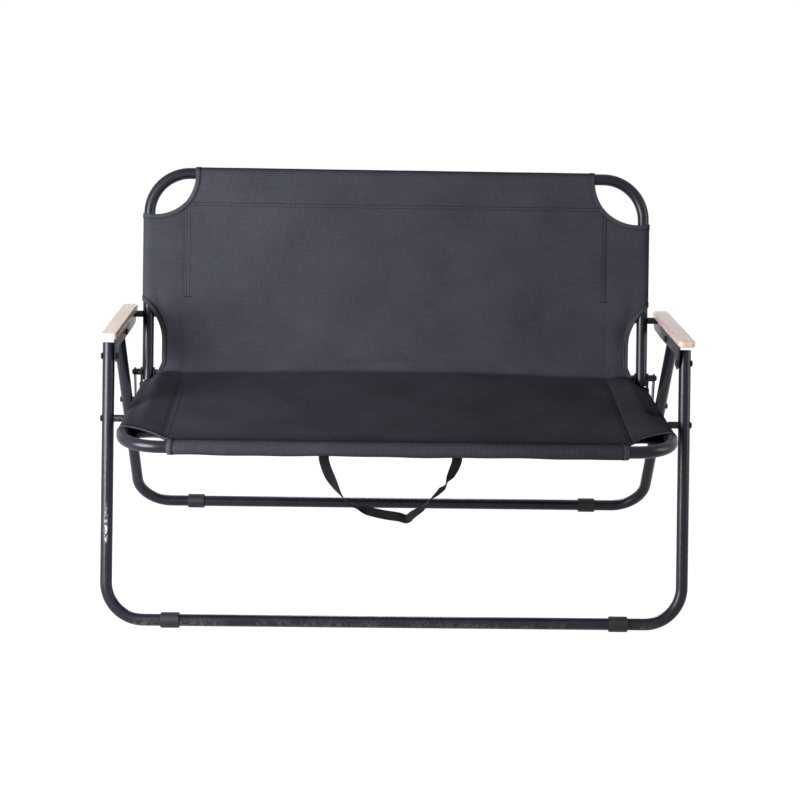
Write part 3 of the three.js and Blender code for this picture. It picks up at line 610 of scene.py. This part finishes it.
def railRing(inset, level):
    inner, outer = armrest["inner"] + inset, armrest["outer"] - inset
    front, rear = armrest["front"] + inset, armrest["rear"] - inset
    radius = armrest["corner"] - inset
    steps = armrest["cornerSteps"]
    plan = arc(inner + radius, front + radius, radius, 180, 270, steps)
    plan += arc(outer - radius, front + radius, radius, 270, 360, steps)
    plan += arc(outer - radius, rear - radius, radius, 0, 90, steps)
    plan += arc(inner + radius, rear - radius, radius, 90, 180, steps)
    return [(x, run, underside(run) + level) for x, run in plan]


def makeRail(side, sign):
    edge, top = armrest["edge"], armrest["thickness"]
    turns = [math.pi / 2 * i / armrest["edgeSteps"] for i in range(armrest["edgeSteps"] + 1)]
    lower = [(edge * (1 - math.sin(turn)), edge * (1 - math.cos(turn))) for turn in turns]
    levels = [(edge + armrest["rim"], 0)] + lower
    levels += [(inset, top - level) for inset, level in reversed(levels)]
    rings = [railRing(*level) for level in levels]
    rail = makeLoft("armrestRail_" + side, sign, rings, "beech")
    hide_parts("armrest_wood_" + side)
    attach(rail, "armrest_" + side)


def makeBracket(side, sign):
    inner, plate, bend = armrest["plateInner"], armrest["plate"], armrest["bend"]
    steps = bracketOutline["arcSteps"]
    outline = arc(*bracketOutline["rearLobe"], steps) + bracketOutline["lowerEdge"]
    outline = [(run * mm, height * mm) for run, height in outline + arc(*bracketOutline["frontLobe"], steps)]
    first = outline[-1][0]
    last = outline[0][0] - armrest["webTopInset"]
    outline += [(run, underside(run) - armrest["gap"] - bend) for run in (first, last)]
    rings = [[(x, run, height) for run, height in outline] for x in (inner + plate, inner)]
    web = makeLoft("armrestBracket_" + side, sign, rings, "powderCoat")
    corner = arc(inner + bend, -bend, bend, 180, 90, armrest["bendSteps"])
    corner += [(armrest["flangeOuter"], 0), (armrest["flangeOuter"], -plate)]
    corner += arc(inner + bend, -bend, bend - plate, 90, 180, armrest["bendSteps"])
    rings = []
    for run in (armrest["flangeFront"], armrest["flangeRear"]):
        rings.append([(x, run, underside(run) - armrest["gap"] + height) for x, height in corner])
    flange = makeLoft("armrestFlange_" + side, sign, rings, "powderCoat")
    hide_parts("armrest_bracket_" + side)
    for piece in (web, flange):
        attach(piece, "armrest_" + side)


def makeScrews(side, sign):
    middle = (armrest["inner"] + armrest["outer"]) / 2
    sides = armrest["screwSides"]
    for number, run in enumerate(armrest["screws"], 1):
        face = underside(run) - armrest["gap"] - armrest["plate"]
        rings = []
        for radius, drop in armrest["screwDome"]:
            circle = arc(middle, run, armrest["screwHead"] * radius, 0, 360 - 360 / sides, sides - 1)
            rings.append([(x, along, face - armrest["screwHeight"] * drop) for x, along in circle])
        name = "armrestScrew" + str(number) + "_" + side
        screw = makeLoft(name, sign, rings[::-1], "blackenedSteel")
        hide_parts("armrest_screw_" + str(number) + "_" + side)
        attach(screw, "armrest_" + side)


for armSide in ("left", "right"):
    armSign = math.copysign(1, middleOf("armrest_wood_" + armSide).x)
    makeRail(armSide, armSign)
    makeBracket(armSide, armSign)
    makeScrews(armSide, armSign)
print("armrests made")


# Sling: one cloth from the back's top bar, down the back, through the crease and over the seat's front bar.
# It is drawn on the flat cut: p runs across and q runs along, from the top hem to the front hem.
sling = {
    "thickness": 1.2 * mm,
    "clothRadius": 12 * mm,  # cloth's middle round a tube
    "half": 488 * mm,
    "sideSeam": 71 * mm,
    "endSeam": 54 * mm,
    "lap": 12 * mm,
    "backBarUp": 392 * mm,
    "seatReach": 176 * mm,
    "creaseRadius": 10 * mm,
    "creaseRaise": 26 * mm,  # up the back, at the sides
    "creaseBow": 8 * mm,  # more of that in the middle
    "creaseBackFade": 60 * mm,
    "creaseSeatFade": 320 * mm,
    "backSag": 10 * mm,
    "seatSag": 5 * mm,
    "topCut": 86 * mm,
    "topLean": 3.9 * mm,  # the right top corner is cut wider than the left
    "topPast": -1 * mm,
    "frontCut": 79 * mm,
    "frontPast": -6 * mm,
    "cutIn": 10 * mm,
    "sideCutDepth": 28 * mm,
    "sideCutHalf": 69 * mm,
    "sideCutUp": 62 * mm,
    "sideCutFoot": -33 * mm,
    "sideCutCorner": 38 * mm,
    "closing": 40 * mm,  # how far from the side cut its two layers come together
    "tubeEdge": 452 * mm,
    "tubeRamp": 28 * mm,
    "footRamp": 25 * mm,
    "cell": 6 * mm,
    "nearShare": 0.6,  # of a cell: the room kept beside a seam's lines, and an edge point's longest move
    "seamMargin": 2.5 * mm,  # the mesh has lines this far to each side of a seam
    "hemStart": 2 * mm,  # the ribs of the front hem start this far past its seam
    "sleeveFade": (458 * mm, 30 * mm),  # the crease's rise ends here, over this width
    "foldStart": 20 * mm,  # up the back from its hinge, and the fold's end along the seat
    "foldEnd": 215 * mm,
}
seamX = sling["half"] - sling["sideSeam"]
backOut = across.cross(backUp)
backOut = backOut if backOut.y < 0 else -backOut
seatOut = across.cross(seatBack)
seatOut = seatOut if seatOut.z > 0 else -seatOut


def sleeveProfile(t, reach):
    radius = sling["clothRadius"]
    touch = math.acos(radius / reach)
    straight = reach * math.sin(touch)
    wrap = radius * (2 * math.pi - 2 * touch)
    alongLine = (reach - radius * math.cos(touch)) / straight
    outLine = radius * math.sin(touch) / straight
    angle = touch + (t - straight) / radius
    left = 2 * straight + wrap - t
    cases = [t <= 0, t < straight, t < straight + wrap, left > 0]
    near = np.select(cases, [t, t * alongLine, reach - radius * np.cos(angle), left * alongLine], left)
    out = np.select(cases, [0 * t, t * outLine, radius * np.sin(angle), -left * outLine], 0 * t)
    behind = -sling["thickness"] * np.clip((t - straight) / wrap, 0, 1)
    return near, out, behind


def sleeveLength(reach):
    radius = sling["clothRadius"]
    touch = math.acos(radius / reach)
    return 2 * reach * math.sin(touch) + radius * (2 * math.pi - 2 * touch)


sideLength = sleeveLength(sling["sideSeam"]) + sling["lap"]
hemLength = sleeveLength(sling["endSeam"]) + sling["lap"]
halfWidth = seamX + sideLength

# Where the crease's bend touches the back and the seat
turnAngle = math.acos(backUp.dot(seatBack))
bendTangent = sling["creaseRadius"] * math.tan(turnAngle / 2)
hinge = backHinge - seatPivot
meetBack = -hinge.dot(seatOut) / backUp.dot(seatOut)
meetSeat = hinge.dot(seatBack) + meetBack * backUp.dot(seatBack)
backFoot = meetBack + bendTangent
seatHead = meetSeat - bendTangent
bendLength = sling["creaseRadius"] * turnAngle
backSeam = sling["backBarUp"] - sling["endSeam"]
frontSeam = sling["endSeam"] - sling["seatReach"]
qBack = hemLength
qBend = qBack + backSeam - backFoot
qSeat = qBend + bendLength
qFront = qSeat + seatHead - frontSeam
fullLength = qFront + hemLength


def placeAlong(q):
    shape = np.shape(q)
    q = np.asarray(q, float)
    hemNear, hemOut, hemBehind = sleeveProfile(qBack - q, sling["endSeam"])
    frontNear, frontOut, frontBehind = sleeveProfile(q - qFront, sling["endSeam"])
    onBack = q < qBend
    onSeat = q > qSeat
    backRun = np.where(q < qBack, backSeam + hemNear, backSeam - (q - qBack))
    seatRun = np.where(q > qFront, frontSeam - frontNear, seatHead - (q - qSeat))
    angle = np.clip((q - qBend) / sling["creaseRadius"], 0, turnAngle)
    first = np.sin(turnAngle - angle) / math.sin(turnAngle)
    second = np.sin(angle) / math.sin(turnAngle)
    ny = backOut.y * first + seatOut.y * second
    nz = backOut.z * first + seatOut.z * second
    centre = backHinge + backUp * backFoot + backOut * sling["creaseRadius"]
    y = centre.y - sling["creaseRadius"] * ny
    z = centre.z - sling["creaseRadius"] * nz
    y = np.where(onSeat, seatPivot.y + seatBack.y * seatRun, y)
    z = np.where(onSeat, seatPivot.z + seatBack.z * seatRun, z)
    y = np.where(onBack, backHinge.y + backUp.y * backRun, y)
    z = np.where(onBack, backHinge.z + backUp.z * backRun, z)
    hem = np.where(q < qBack, hemOut + hemBehind, 0) + np.where(q > qFront, frontOut + frontBehind, 0)
    up = np.where(onBack, backRun, backFoot - (q - qBend))
    return y.reshape(shape), z.reshape(shape), ny, nz, hem, up, seatRun, onBack, onSeat


def placeAcross(p):
    side, out, behind = sleeveProfile(np.abs(p) - seamX, sling["sideSeam"])
    beyond = np.abs(p) > seamX
    return np.where(beyond, seamX + side, np.abs(p)), np.where(beyond, out, 0), np.where(beyond, behind, 0)


def smooth(value):
    value = np.clip(value, 0, 1)
    return value * value * (3 - 2 * value)


def sideCutField(x, up):
    radius = (sling["sideCutHalf"] ** 2 + sling["sideCutDepth"] ** 2) / (2 * sling["sideCutDepth"])
    edge = sling["half"] - sling["sideCutDepth"]
    above = np.hypot(x - edge - radius, up - sling["sideCutUp"]) - radius
    corner = sling["sideCutCorner"]
    dx = edge + corner - x
    dUp = sling["sideCutFoot"] + corner - up
    outside = np.hypot(np.maximum(dx, 0), np.maximum(dUp, 0)) - corner
    below = outside + np.minimum(np.maximum(dx, dUp), 0)
    return np.where(up > sling["sideCutUp"], above, below)


def keepField(p, q):
    x = placeAcross(p)[0]
    up, seatRun, onBack, onSeat = placeAlong(q)[5:]
    cutX = sling["half"] - sling["cutIn"]
    top = np.hypot(x - cutX, up - sling["backBarUp"] - sling["topPast"]) - sling["topCut"]
    top = top - sling["topLean"] * np.sign(p)
    front = np.hypot(x - cutX, seatRun + sling["seatReach"] + sling["frontPast"]) - sling["frontCut"]
    side = sideCutField(x, up)
    field = np.where(onBack, np.minimum(top, side), side)
    return np.where(onSeat, np.minimum(np.minimum(front, side), 1), field)


def slingPoint(p, q):
    x, sideOut, behind = placeAcross(p)
    y, z, ny, nz, hem, up, seatRun, onBack, onSeat = placeAlong(q)
    cut = sideCutField(x, up)
    opened = smooth(cut / sling["closing"])
    opened = np.maximum(opened, smooth((x - sling["tubeEdge"]) / sling["tubeRamp"]))
    opened = np.maximum(opened, smooth((sling["sideCutFoot"] - up) / sling["footRamp"]))
    backAcross = np.cos(math.pi / 2 * np.clip(x / seamX, 0, 1))
    backShare = np.clip((up - backFoot) / (backSeam - backFoot), 0, 1)
    seatShare = np.clip((seatRun - frontSeam) / (seatHead - frontSeam), 0, 1)
    sag = np.where(onBack, sling["backSag"] * np.sin(math.pi * backShare), 0)
    sag = sag + np.where(onSeat, sling["seatSag"] * np.sin(math.pi * seatShare), 0)
    out = hem + behind + sideOut * opened - sag * backAcross + clothRelief(p, q, onBack, up)
    fade = smooth(1 - (qBend - q) / sling["creaseBackFade"])
    fade = fade * np.clip(1 - (q - qSeat) / sling["creaseSeatFade"], 0, 1)
    fadeFrom, fadeWidth = sling["sleeveFade"]
    sleeveFade = 1 - smooth((x - fadeFrom) / fadeWidth)
    rise = (sling["creaseRaise"] + sling["creaseBow"] * backAcross) * fade * sleeveFade
    return np.stack([np.sign(p) * x, y + ny * out + backUp.y * rise, z + nz * out + backUp.z * rise], -1)


# Small relief of the sewn cloth: a groove along each seam, puckers beside it and slight waves in the panels
relief = {
    "groove": 0.9 * mm, "grooveHalf": 2.2 * mm,
    "pucker": 0.5 * mm, "puckerPitch": 17 * mm, "puckerReach": 14 * mm,
    "wave": 0.8 * mm, "waveAcross": 290 * mm, "waveAlong": 210 * mm,
    "seamFoot": 150 * mm,  # the back's side seams end this far up the back
    "seamFade": 10 * mm, "seatBelow": 60 * mm, "panelFade": 60 * mm,
    "secondShare": 0.6,  # each pucker row has a second, weaker wave of other turns and starts
    "sideTurns": 1.37, "sideStart": 1.1, "sideShift": 3, "hemTurns": 0.71, "hemStart": 0.4,
    "waveStart": 0.7, "slantShare": 0.5, "slant": 0.6, "slantLength": 0.55, "slantStart": 2.1,
}


def clothRelief(p, q, onBack, up):
    onSeat = np.where(up < -relief["seatBelow"], 1, 0)
    sewn = np.where(onBack, smooth((up - relief["seamFoot"]) / relief["seamFade"]), onSeat)
    fromSide = np.abs(np.abs(p) - seamX)
    fromHem = np.minimum(np.abs(q - qBack), np.abs(q - qFront))
    inPanel = np.where(np.abs(p) < seamX, 1, 0)
    groove = sewn * np.exp(-(fromSide / relief["grooveHalf"]) ** 2)
    groove = np.maximum(groove, inPanel * np.exp(-(fromHem / relief["grooveHalf"]) ** 2))
    turn = 2 * math.pi / relief["puckerPitch"]
    sideStart = relief["sideStart"] + relief["sideShift"] * np.sign(p)
    second = np.sin(turn * relief["sideTurns"] * q + sideStart)
    alongSide = np.sin(turn * q) + relief["secondShare"] * second
    second = np.sin(turn * relief["hemTurns"] * p + relief["hemStart"])
    alongHem = np.sin(turn * p) + relief["secondShare"] * second
    pucker = sewn * alongSide * np.exp(-fromSide / relief["puckerReach"])
    pucker = pucker + inPanel * alongHem * np.exp(-fromHem / relief["puckerReach"])
    waves = np.sin(2 * math.pi * p / relief["waveAcross"] + relief["waveStart"])
    waves = waves * np.sin(2 * math.pi * q / relief["waveAlong"])
    slanting = (p + relief["slant"] * q) / (relief["slantLength"] * relief["waveAlong"])
    waves = waves + relief["slantShare"] * np.sin(2 * math.pi * slanting + relief["slantStart"])
    between = inPanel * np.clip(np.minimum(fromSide, fromHem) / relief["panelFade"], 0, 1)
    return relief["pucker"] * pucker * 0.5 - relief["groove"] * groove + relief["wave"] * waves * between


def refined(low, high, marks, step):
    values = list(np.linspace(low, high, int(math.ceil((high - low) / step)) + 1))
    for mark in marks:
        values = [v for v in values if abs(v - mark) > sling["nearShare"] * step]
        values += [mark - sling["seamMargin"], mark, mark + sling["seamMargin"]]
    return np.array(sorted(v for v in values if low <= v <= high))


def makeSling():
    ps = refined(-halfWidth, halfWidth, [-seamX, seamX], sling["cell"])
    qs = refined(0, fullLength, [qBack, qFront], sling["cell"])
    p, q = np.meshgrid(ps, qs)
    midP, midQ = (p[:-1, :-1] + p[1:, 1:]) / 2, (q[:-1, :-1] + q[1:, 1:]) / 2
    cutAway = keepField(midP, midQ) <= 0
    behindSide = np.abs(midP) > seamX + sideLength / 2
    behindHem = (midQ < qBack - hemLength / 2) | (midQ > qFront + hemLength / 2)
    keep = ~cutAway & ~(behindSide & behindHem)
    touchesKept = np.zeros(p.shape, bool)
    touchesCut = np.zeros(p.shape, bool)
    rows, columns = keep.shape
    for di in (0, 1):
        for dj in (0, 1):
            touchesKept[di:di + rows, dj:dj + columns] |= keep
            touchesCut[di:di + rows, dj:dj + columns] |= cutAway
    onEdge = touchesKept & touchesCut
    stepLimit = sling["nearShare"] * sling["cell"]
    for _ in range(4):
        value = keepField(p, q)
        slopeP, slopeQ = keepSlope(p, q)
        size = np.maximum(slopeP ** 2 + slopeQ ** 2, 0.05)
        p = np.where(onEdge, p + np.clip(-value * slopeP / size, -stepLimit, stepLimit), p)
        q = np.where(onEdge, q + np.clip(-value * slopeQ / size, -stepLimit, stepLimit), q)
    index = np.full(p.shape, -1)
    index[touchesKept] = np.arange(touchesKept.sum())
    onHem = q > qFront + sling["hemStart"]
    flat = np.stack([p, q, np.where(onHem, 2 * hemMark, 0)], -1)[touchesKept]
    faces = []
    area = 0
    for i, j in zip(*np.nonzero(keep)):
        faces.append((index[i, j], index[i + 1, j], index[i + 1, j + 1], index[i, j + 1]))
        area += (ps[j + 1] - ps[j]) * (qs[i + 1] - qs[i])
    points = slingPoint(p, q)[touchesKept]
    cloth = makeMesh("campSling", points, faces, "canvas", flat)
    shell = cloth.modifiers.new("clothThickness", "SOLIDIFY")
    shell.thickness = sling["thickness"]
    shell.offset = 0
    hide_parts("seat_sling", "back_sling")
    return cloth, flat, faces, onEdge[touchesKept], area


def keepSlope(p, q):
    tiny = 0.2 * mm
    slopeP = (keepField(p + tiny, q) - keepField(p - tiny, q)) / (2 * tiny)
    slopeQ = (keepField(p, q + tiny) - keepField(p, q - tiny)) / (2 * tiny)
    return slopeP, slopeQ


def crossFold(piece):
    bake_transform(piece)


campSling, slingFlat, slingFaces, slingEdge, slingArea = makeSling()
crossFold(campSling)
print("sling made: flat", round(2 * halfWidth, 4), "by", round(fullLength, 4), "area", round(slingArea, 4))


# Seams: the cuts are bound with tape, and the sleeves are sewn down with double rows of thread.

def frontNormal(p, q):
    tiny = 0.5 * mm
    dp = slingPoint(p + tiny, q) - slingPoint(p - tiny, q)
    dq = slingPoint(p, q + tiny) - slingPoint(p, q - tiny)
    normal = np.cross(dq, dp)
    return normal / np.maximum(np.linalg.norm(normal, axis=-1, keepdims=True), 1e-9)


def edgeChains():
    uses = {}
    for face in slingFaces:
        for a, b in zip(face, face[1:] + face[:1]):
            uses[frozenset((a, b))] = uses.get(frozenset((a, b)), 0) + 1
    joined = {}
    for pair, count in uses.items():
        a, b = pair
        if count == 1 and slingEdge[a] and slingEdge[b]:
            joined.setdefault(a, []).append(b)
            joined.setdefault(b, []).append(a)
    chains = []
    left = set(joined)
    ends = sorted(v for v in joined if len(joined[v]) == 1)
    for start in ends + sorted(joined):
        if start not in left:
            continue
        chain = [start]
        left.discard(start)
        while True:
            following = [v for v in joined[chain[-1]] if v in left]
            if not following:
                break
            chain.append(following[0])
            left.discard(following[0])
        if len(chain) > 4:
            closed = len(joined[start]) == 2 and start in joined[chain[-1]]
            chains.append(chain + [start] if closed else chain)
    return chains


# Points spread evenly along a line, about a step apart, or in so many steps where a count is given
def evenly(points, step=None, count=None):
    points = np.asarray(points, float)
    lengths = np.concatenate([[0], np.cumsum(np.linalg.norm(np.diff(points, axis=0), axis=1))])
    count = count or max(2, int(round(lengths[-1] / step)))
    wanted = np.linspace(0, lengths[-1], count + 1)
    return np.stack([np.interp(wanted, lengths, points[:, k]) for k in range(points.shape[1])], -1)


binding = {
    "width": 8.5 * mm,
    "over": 1.0 * mm,  # how far the tape stands past the cut edge
    "lift": 1.1 * mm,  # from the cloth's middle to the tape's face
    "step": 4 * mm,
    "turnedIn": 0.5 * mm,  # the tape's inner edge lies this near the cloth's middle
    "shoulderShares": (0.8, 0.6),  # of over and of lift, where the tape turns round the edge
}


def makeBinding():
    width, over, lift = binding["width"], binding["over"], binding["lift"]
    overShare, liftShare = binding["shoulderShares"]
    front = [(width, binding["turnedIn"]), (width, lift), (width / 2, lift), (0, lift)]
    front += [(-overShare * over, liftShare * lift)]
    section = front + [(-over, 0)] + [(s, -h) for s, h in reversed(front)]
    points = []
    flats = []
    faces = []
    for chain in edgeChains():
        line = evenly(slingFlat[chain, :2], binding["step"])
        p, q = line[:, 0], line[:, 1]
        slopeP, slopeQ = keepSlope(p, q)
        size = np.maximum(np.hypot(slopeP, slopeQ), 1e-6)
        base = len(points)
        along = np.arange(len(line)) * binding["step"]
        rings = []
        for s, h in section:
            ps, qs = p + slopeP / size * s, q + slopeQ / size * s
            rings.append(slingPoint(ps, qs) + frontNormal(p, q) * h)
        for k in range(len(line)):
            for n, (s, h) in enumerate(section):
                points.append(rings[n][k])
                flats.append((along[k], s, 0))
        around = len(section)
        for k in range(len(line) - 1):
            for n in range(around - 1):
                a = base + k * around + n
                faces.append((a, a + 1, a + around + 1, a + around))
    tape = makeMesh("slingBinding", points, faces, "tape", flats)
    crossFold(tape)
    return tape


thread = {
    "dash": 3.8 * mm, "pitch": 5 * mm, "width": 1.1 * mm, "height": 0.5 * mm, "lift": 0.5 * mm,
    "insets": (3 * mm, 9 * mm),  # of the two rows, in from the seam
    "pastCrease": 30 * mm, "tackRows": (0, 1.2 * mm), "tackLength": 12 * mm,
    "onTape": 2 * mm, "shadeRowBesideTape": 0.8 * mm,  # the rows on the binding and beside it; the one beside it is partly painted shade
    "tuckShare": 0.2, "shortest": 0.5 * mm,
}


def makeStitches():
    rows = []
    seamEnd = qBack + backSeam - relief["seamFoot"]
    for sign in (-1, 1):
        for inset in thread["insets"]:
            x = sign * (seamX - inset)
            rows.append([(x, qBack), (x, seamEnd)])
            rows.append([(x, qSeat + thread["pastCrease"]), (x, qFront)])
        for past in thread["tackRows"]:
            q = seamEnd + past
            rows.append([(sign * seamX, q), (sign * (seamX - thread["tackLength"]), q)])
    hems = [qBack + inset for inset in thread["insets"]] + [qFront - inset for inset in thread["insets"]]
    for q in hems:
        rows.append([(-seamX, q), (seamX, q)])
    lines = [(row, thread["lift"]) for row in rows]
    for chain in edgeChains():
        line = slingFlat[chain, :2]
        slopeP, slopeQ = keepSlope(line[:, 0], line[:, 1])
        size = np.maximum(np.hypot(slopeP, slopeQ), 1e-6)
        inward = np.stack([slopeP / size, slopeQ / size], -1)
        lines.append((line + inward * (binding["width"] - thread["onTape"]), binding["lift"]))
        # A second, nearly unbroken dark row just past the tape's inner edge: partly stitching, partly painted
        # shade that draws the shadow line along the tape's raised edge
        lines.append((line + inward * (binding["width"] + thread["shadeRowBesideTape"]), thread["lift"]))
    points = []
    faces = []
    for line, lift in lines:
        spots = evenly(line, thread["pitch"])
        spots = spots[keepField(spots[:, 0], spots[:, 1]) > thread["dash"]]
        steps = np.gradient(spots, axis=0)
        steps /= np.linalg.norm(steps, axis=1, keepdims=True)
        half = thread["dash"] / 2
        normal = frontNormal(spots[:, 0], spots[:, 1])
        start = slingPoint(spots[:, 0] - steps[:, 0] * half, spots[:, 1] - steps[:, 1] * half)
        end = slingPoint(spots[:, 0] + steps[:, 0] * half, spots[:, 1] + steps[:, 1] * half)
        for a, b, n in zip(start, end, normal):
            side = np.cross(b - a, n)
            length = np.linalg.norm(side)
            if length < thread["shortest"]:
                continue
            side = side / length * thread["width"] / 2
            base = len(points)
            floor, top = n * lift, n * (lift + thread["height"])
            tuck = (b - a) * thread["tuckShare"]
            points += [a - side + floor, a + side + floor, b + side + floor, b - side + floor]
            points += [a + tuck - side / 2 + top, a + tuck + side / 2 + top]
            points += [b - tuck + side / 2 + top, b - tuck - side / 2 + top]
            for face in ((0, 1, 5, 4), (1, 2, 6, 5), (2, 3, 7, 6), (3, 0, 4, 7), (4, 5, 6, 7)):
                faces.append([base + k for k in face])
    flats = [(x, y, 0) for x, y, z in points]
    stitches = makeMesh("slingStitches", points, faces, "thread", flats)
    crossFold(stitches)
    return stitches


slingBinding = makeBinding()
slingStitches = makeStitches()
print("seams made")


# Carrying strap: a loop of flat webbing sewn under the front hem, which twists as it hangs.
strap = {
    "width": 18 * mm,
    "thickness": 1.6 * mm,
    "left": -130 * mm,
    "right": 103 * mm,
    "fall": 134 * mm,
    "alongSeat": -154 * mm,
    "under": 8.2 * mm,
    "steps": 130,
    "spanSteps": 12,  # between two points of the route
    "section": [(-1, 0), (-0.94, 0.8), (-0.7, 1), (0, 1), (0.7, 1), (0.94, 0.8)],  # its upper half
}
# Shares of the strap's width across, and of its fall
strapRoute = [
    (0, 0), (0, 0.06), (0, 0.155), (0.03, 0.33), (0.08, 0.515), (0.125, 0.65), (0.18, 0.77), (0.235, 0.82),
    (0.33, 0.885), (0.46, 0.94), (0.57, 0.97), (0.635, 1), (0.68, 0.93), (0.755, 0.835), (0.82, 0.7),
    (0.875, 0.595), (0.93, 0.465), (0.97, 0.31), (1, 0.155), (1, 0.06), (1, 0)]
# Shares of its length, and how far the webbing is turned out of the picture's plane there, in degrees
strapTurns = [
    (0, 0), (0.14, 5), (0.22, 55), (0.28, 82), (0.34, 84), (0.39, 125), (0.5, 132), (0.6, 122), (0.66, 100),
    (0.7, 84), (0.75, 52), (0.8, 40), (0.83, 78), (0.87, 30), (0.92, 8), (1, 0)]


def curveThrough(points, steps):
    points = [np.asarray(p, float) for p in points]
    points = [2 * points[0] - points[1]] + points + [2 * points[-1] - points[-2]]
    line = []
    for i in range(1, len(points) - 2):
        a, b, c, d = points[i - 1:i + 3]
        for t in np.arange(strap["spanSteps"]) / strap["spanSteps"]:
            line.append(0.5 * (2 * b + (c - a) * t + (2 * a - 5 * b + 4 * c - d) * t ** 2
                               + (3 * b - a - 3 * c + d) * t ** 3))
    line.append(points[-2])
    return evenly(line, count=steps)


def makeStrap():
    top = seatPivot + seatBack * strap["alongSeat"] - seatOut * strap["under"]
    span = strap["right"] - strap["left"]
    route = [(strap["left"] + span * x, top.y, top.z - strap["fall"] * drop) for x, drop in strapRoute]
    line = curveThrough(route, strap["steps"])
    length = np.linalg.norm(np.diff(line, axis=0), axis=1).sum()
    tangents = np.gradient(line, axis=0)
    halfW, halfT = strap["width"] / 2, strap["thickness"] / 2
    section = strap["section"] + [(-u, -v) for u, v in strap["section"]]
    points = []
    flats = []
    for i, (centre, tangent) in enumerate(zip(line, tangents)):
        share = i / strap["steps"]
        angle = math.radians(np.interp(share, *zip(*strapTurns)))
        tangent = tangent / np.linalg.norm(tangent)
        inPlane = np.array((tangent[2], 0, -tangent[0]))
        depth = np.array((0, 1, 0))
        wide = inPlane * math.cos(angle) + depth * math.sin(angle)
        thick = np.cross(tangent, wide)
        for u, v in section:
            points.append(centre + wide * u * halfW + thick * v * halfT)
            flats.append((u * halfW, share * length, 0))
    faces = ringFaces(len(section), len(line))
    webbing = makeMesh("carryStrap", points, faces, "webbing", flats)
    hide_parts("carry_strap")
    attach(webbing, "seat")
    print("strap length", round(length, 4))


makeStrap()
print("strap made")


# Stage: a pale floor that is white to the camera but keeps a soft shadow. The main light stands at the
# left, as in the photograph, with weaker ones at the right and behind for the edges of the tubes.
stage = {
    "floorGlow": 0.8, "glowStrength": 1.2, "pale": "#dedede", "ambient": 0.03, "floorSize": 60,
    "studio": (0.9, 2.4),  # from the first distance to the second, the floor turns into the white backdrop
    "key": {"place": (-1.3, -1.05, 0.94), "target": (0, 0, 0.5), "size": (0.9, 1.0), "power": 80},
    "side": {"place": (1.8, -0.4, 0.95), "target": (0, 0, 0.45), "size": (0.6, 1.2), "power": 14},
    "rear": {"place": (0, 2.2, 0.8), "target": (0, 0, 0.5), "size": (0.6, 0.5), "power": 20},
}


# 1 for what the camera, a gloss or a clear surface sees, so that all three see the same white
def seenDirectly(tree):
    path = [addNode(tree, "LightPath", output=name) for name in (
        "Is Camera Ray", "Is Glossy Ray", "Is Transmission Ray")]
    seen = addNode(tree, "Math", {0: path[0], 1: path[1]}, operation="MAXIMUM")
    return addNode(tree, "Math", {0: seen, 1: path[2]}, operation="MAXIMUM")


def makeFloor():
    bpy.ops.mesh.primitive_plane_add(size=stage["floorSize"])
    floor = bpy.context.object
    floor.name = "paleFloor"
    material, tree = newMaterial("paleFloor")
    matt = addNode(tree, "BsdfDiffuse", {"Color": linear(stage["pale"])})
    place = addNode(tree, "TexCoord", output="Object")
    distance = addNode(tree, "VectorMath", {0: place}, "Value", operation="LENGTH")
    near, far = stage["studio"]
    span = {"Value": distance, "From Min": near, "From Max": far}
    strength = addNode(tree, "MapRange", dict(span, **{"To Min": stage["glowStrength"], "To Max": 1.0}))
    glow = addNode(tree, "Emission", {"Strength": strength})
    share = addNode(tree, "MapRange", dict(span, **{"To Min": stage["floorGlow"], "To Max": 1.0}))
    share = addNode(tree, "Math", {0: seenDirectly(tree), 1: share}, operation="MULTIPLY")
    surface = addNode(tree, "MixShader", {0: share, 1: matt, 2: glow})
    addNode(tree, "OutputMaterial", {"Surface": surface})
    floor.data.materials.append(material)


def makeBackdrop():
    world = bpy.data.worlds.new("studio")
    bpy.context.scene.world = world
    world.use_nodes = True
    tree = world.node_tree
    tree.nodes.clear()
    strength = addNode(tree, "MapRange", {"Value": seenDirectly(tree), "To Min": stage["ambient"]})
    background = addNode(tree, "Background", {"Color": (1, 1, 1, 1), "Strength": strength})
    addNode(tree, "OutputWorld", {"Surface": background})


def makeLight(name):
    lamp = stage[name]
    data = bpy.data.lights.new(name + "Light", "AREA")
    data.shape = "RECTANGLE"
    data.size, data.size_y = lamp["size"]
    data.energy = lamp["power"]
    obj = bpy.data.objects.new(name + "Light", data)
    bpy.context.scene.collection.objects.link(obj)
    obj.location = lamp["place"]
    aim = Vector(lamp["target"]) - Vector(lamp["place"])
    obj.rotation_euler = aim.to_track_quat("-Z", "Y").to_euler()


makeFloor()
makeBackdrop()
for lampName in ("key", "side", "rear"):
    makeLight(lampName)
bpy.context.scene.view_settings.view_transform = "Standard"
print("stage made")
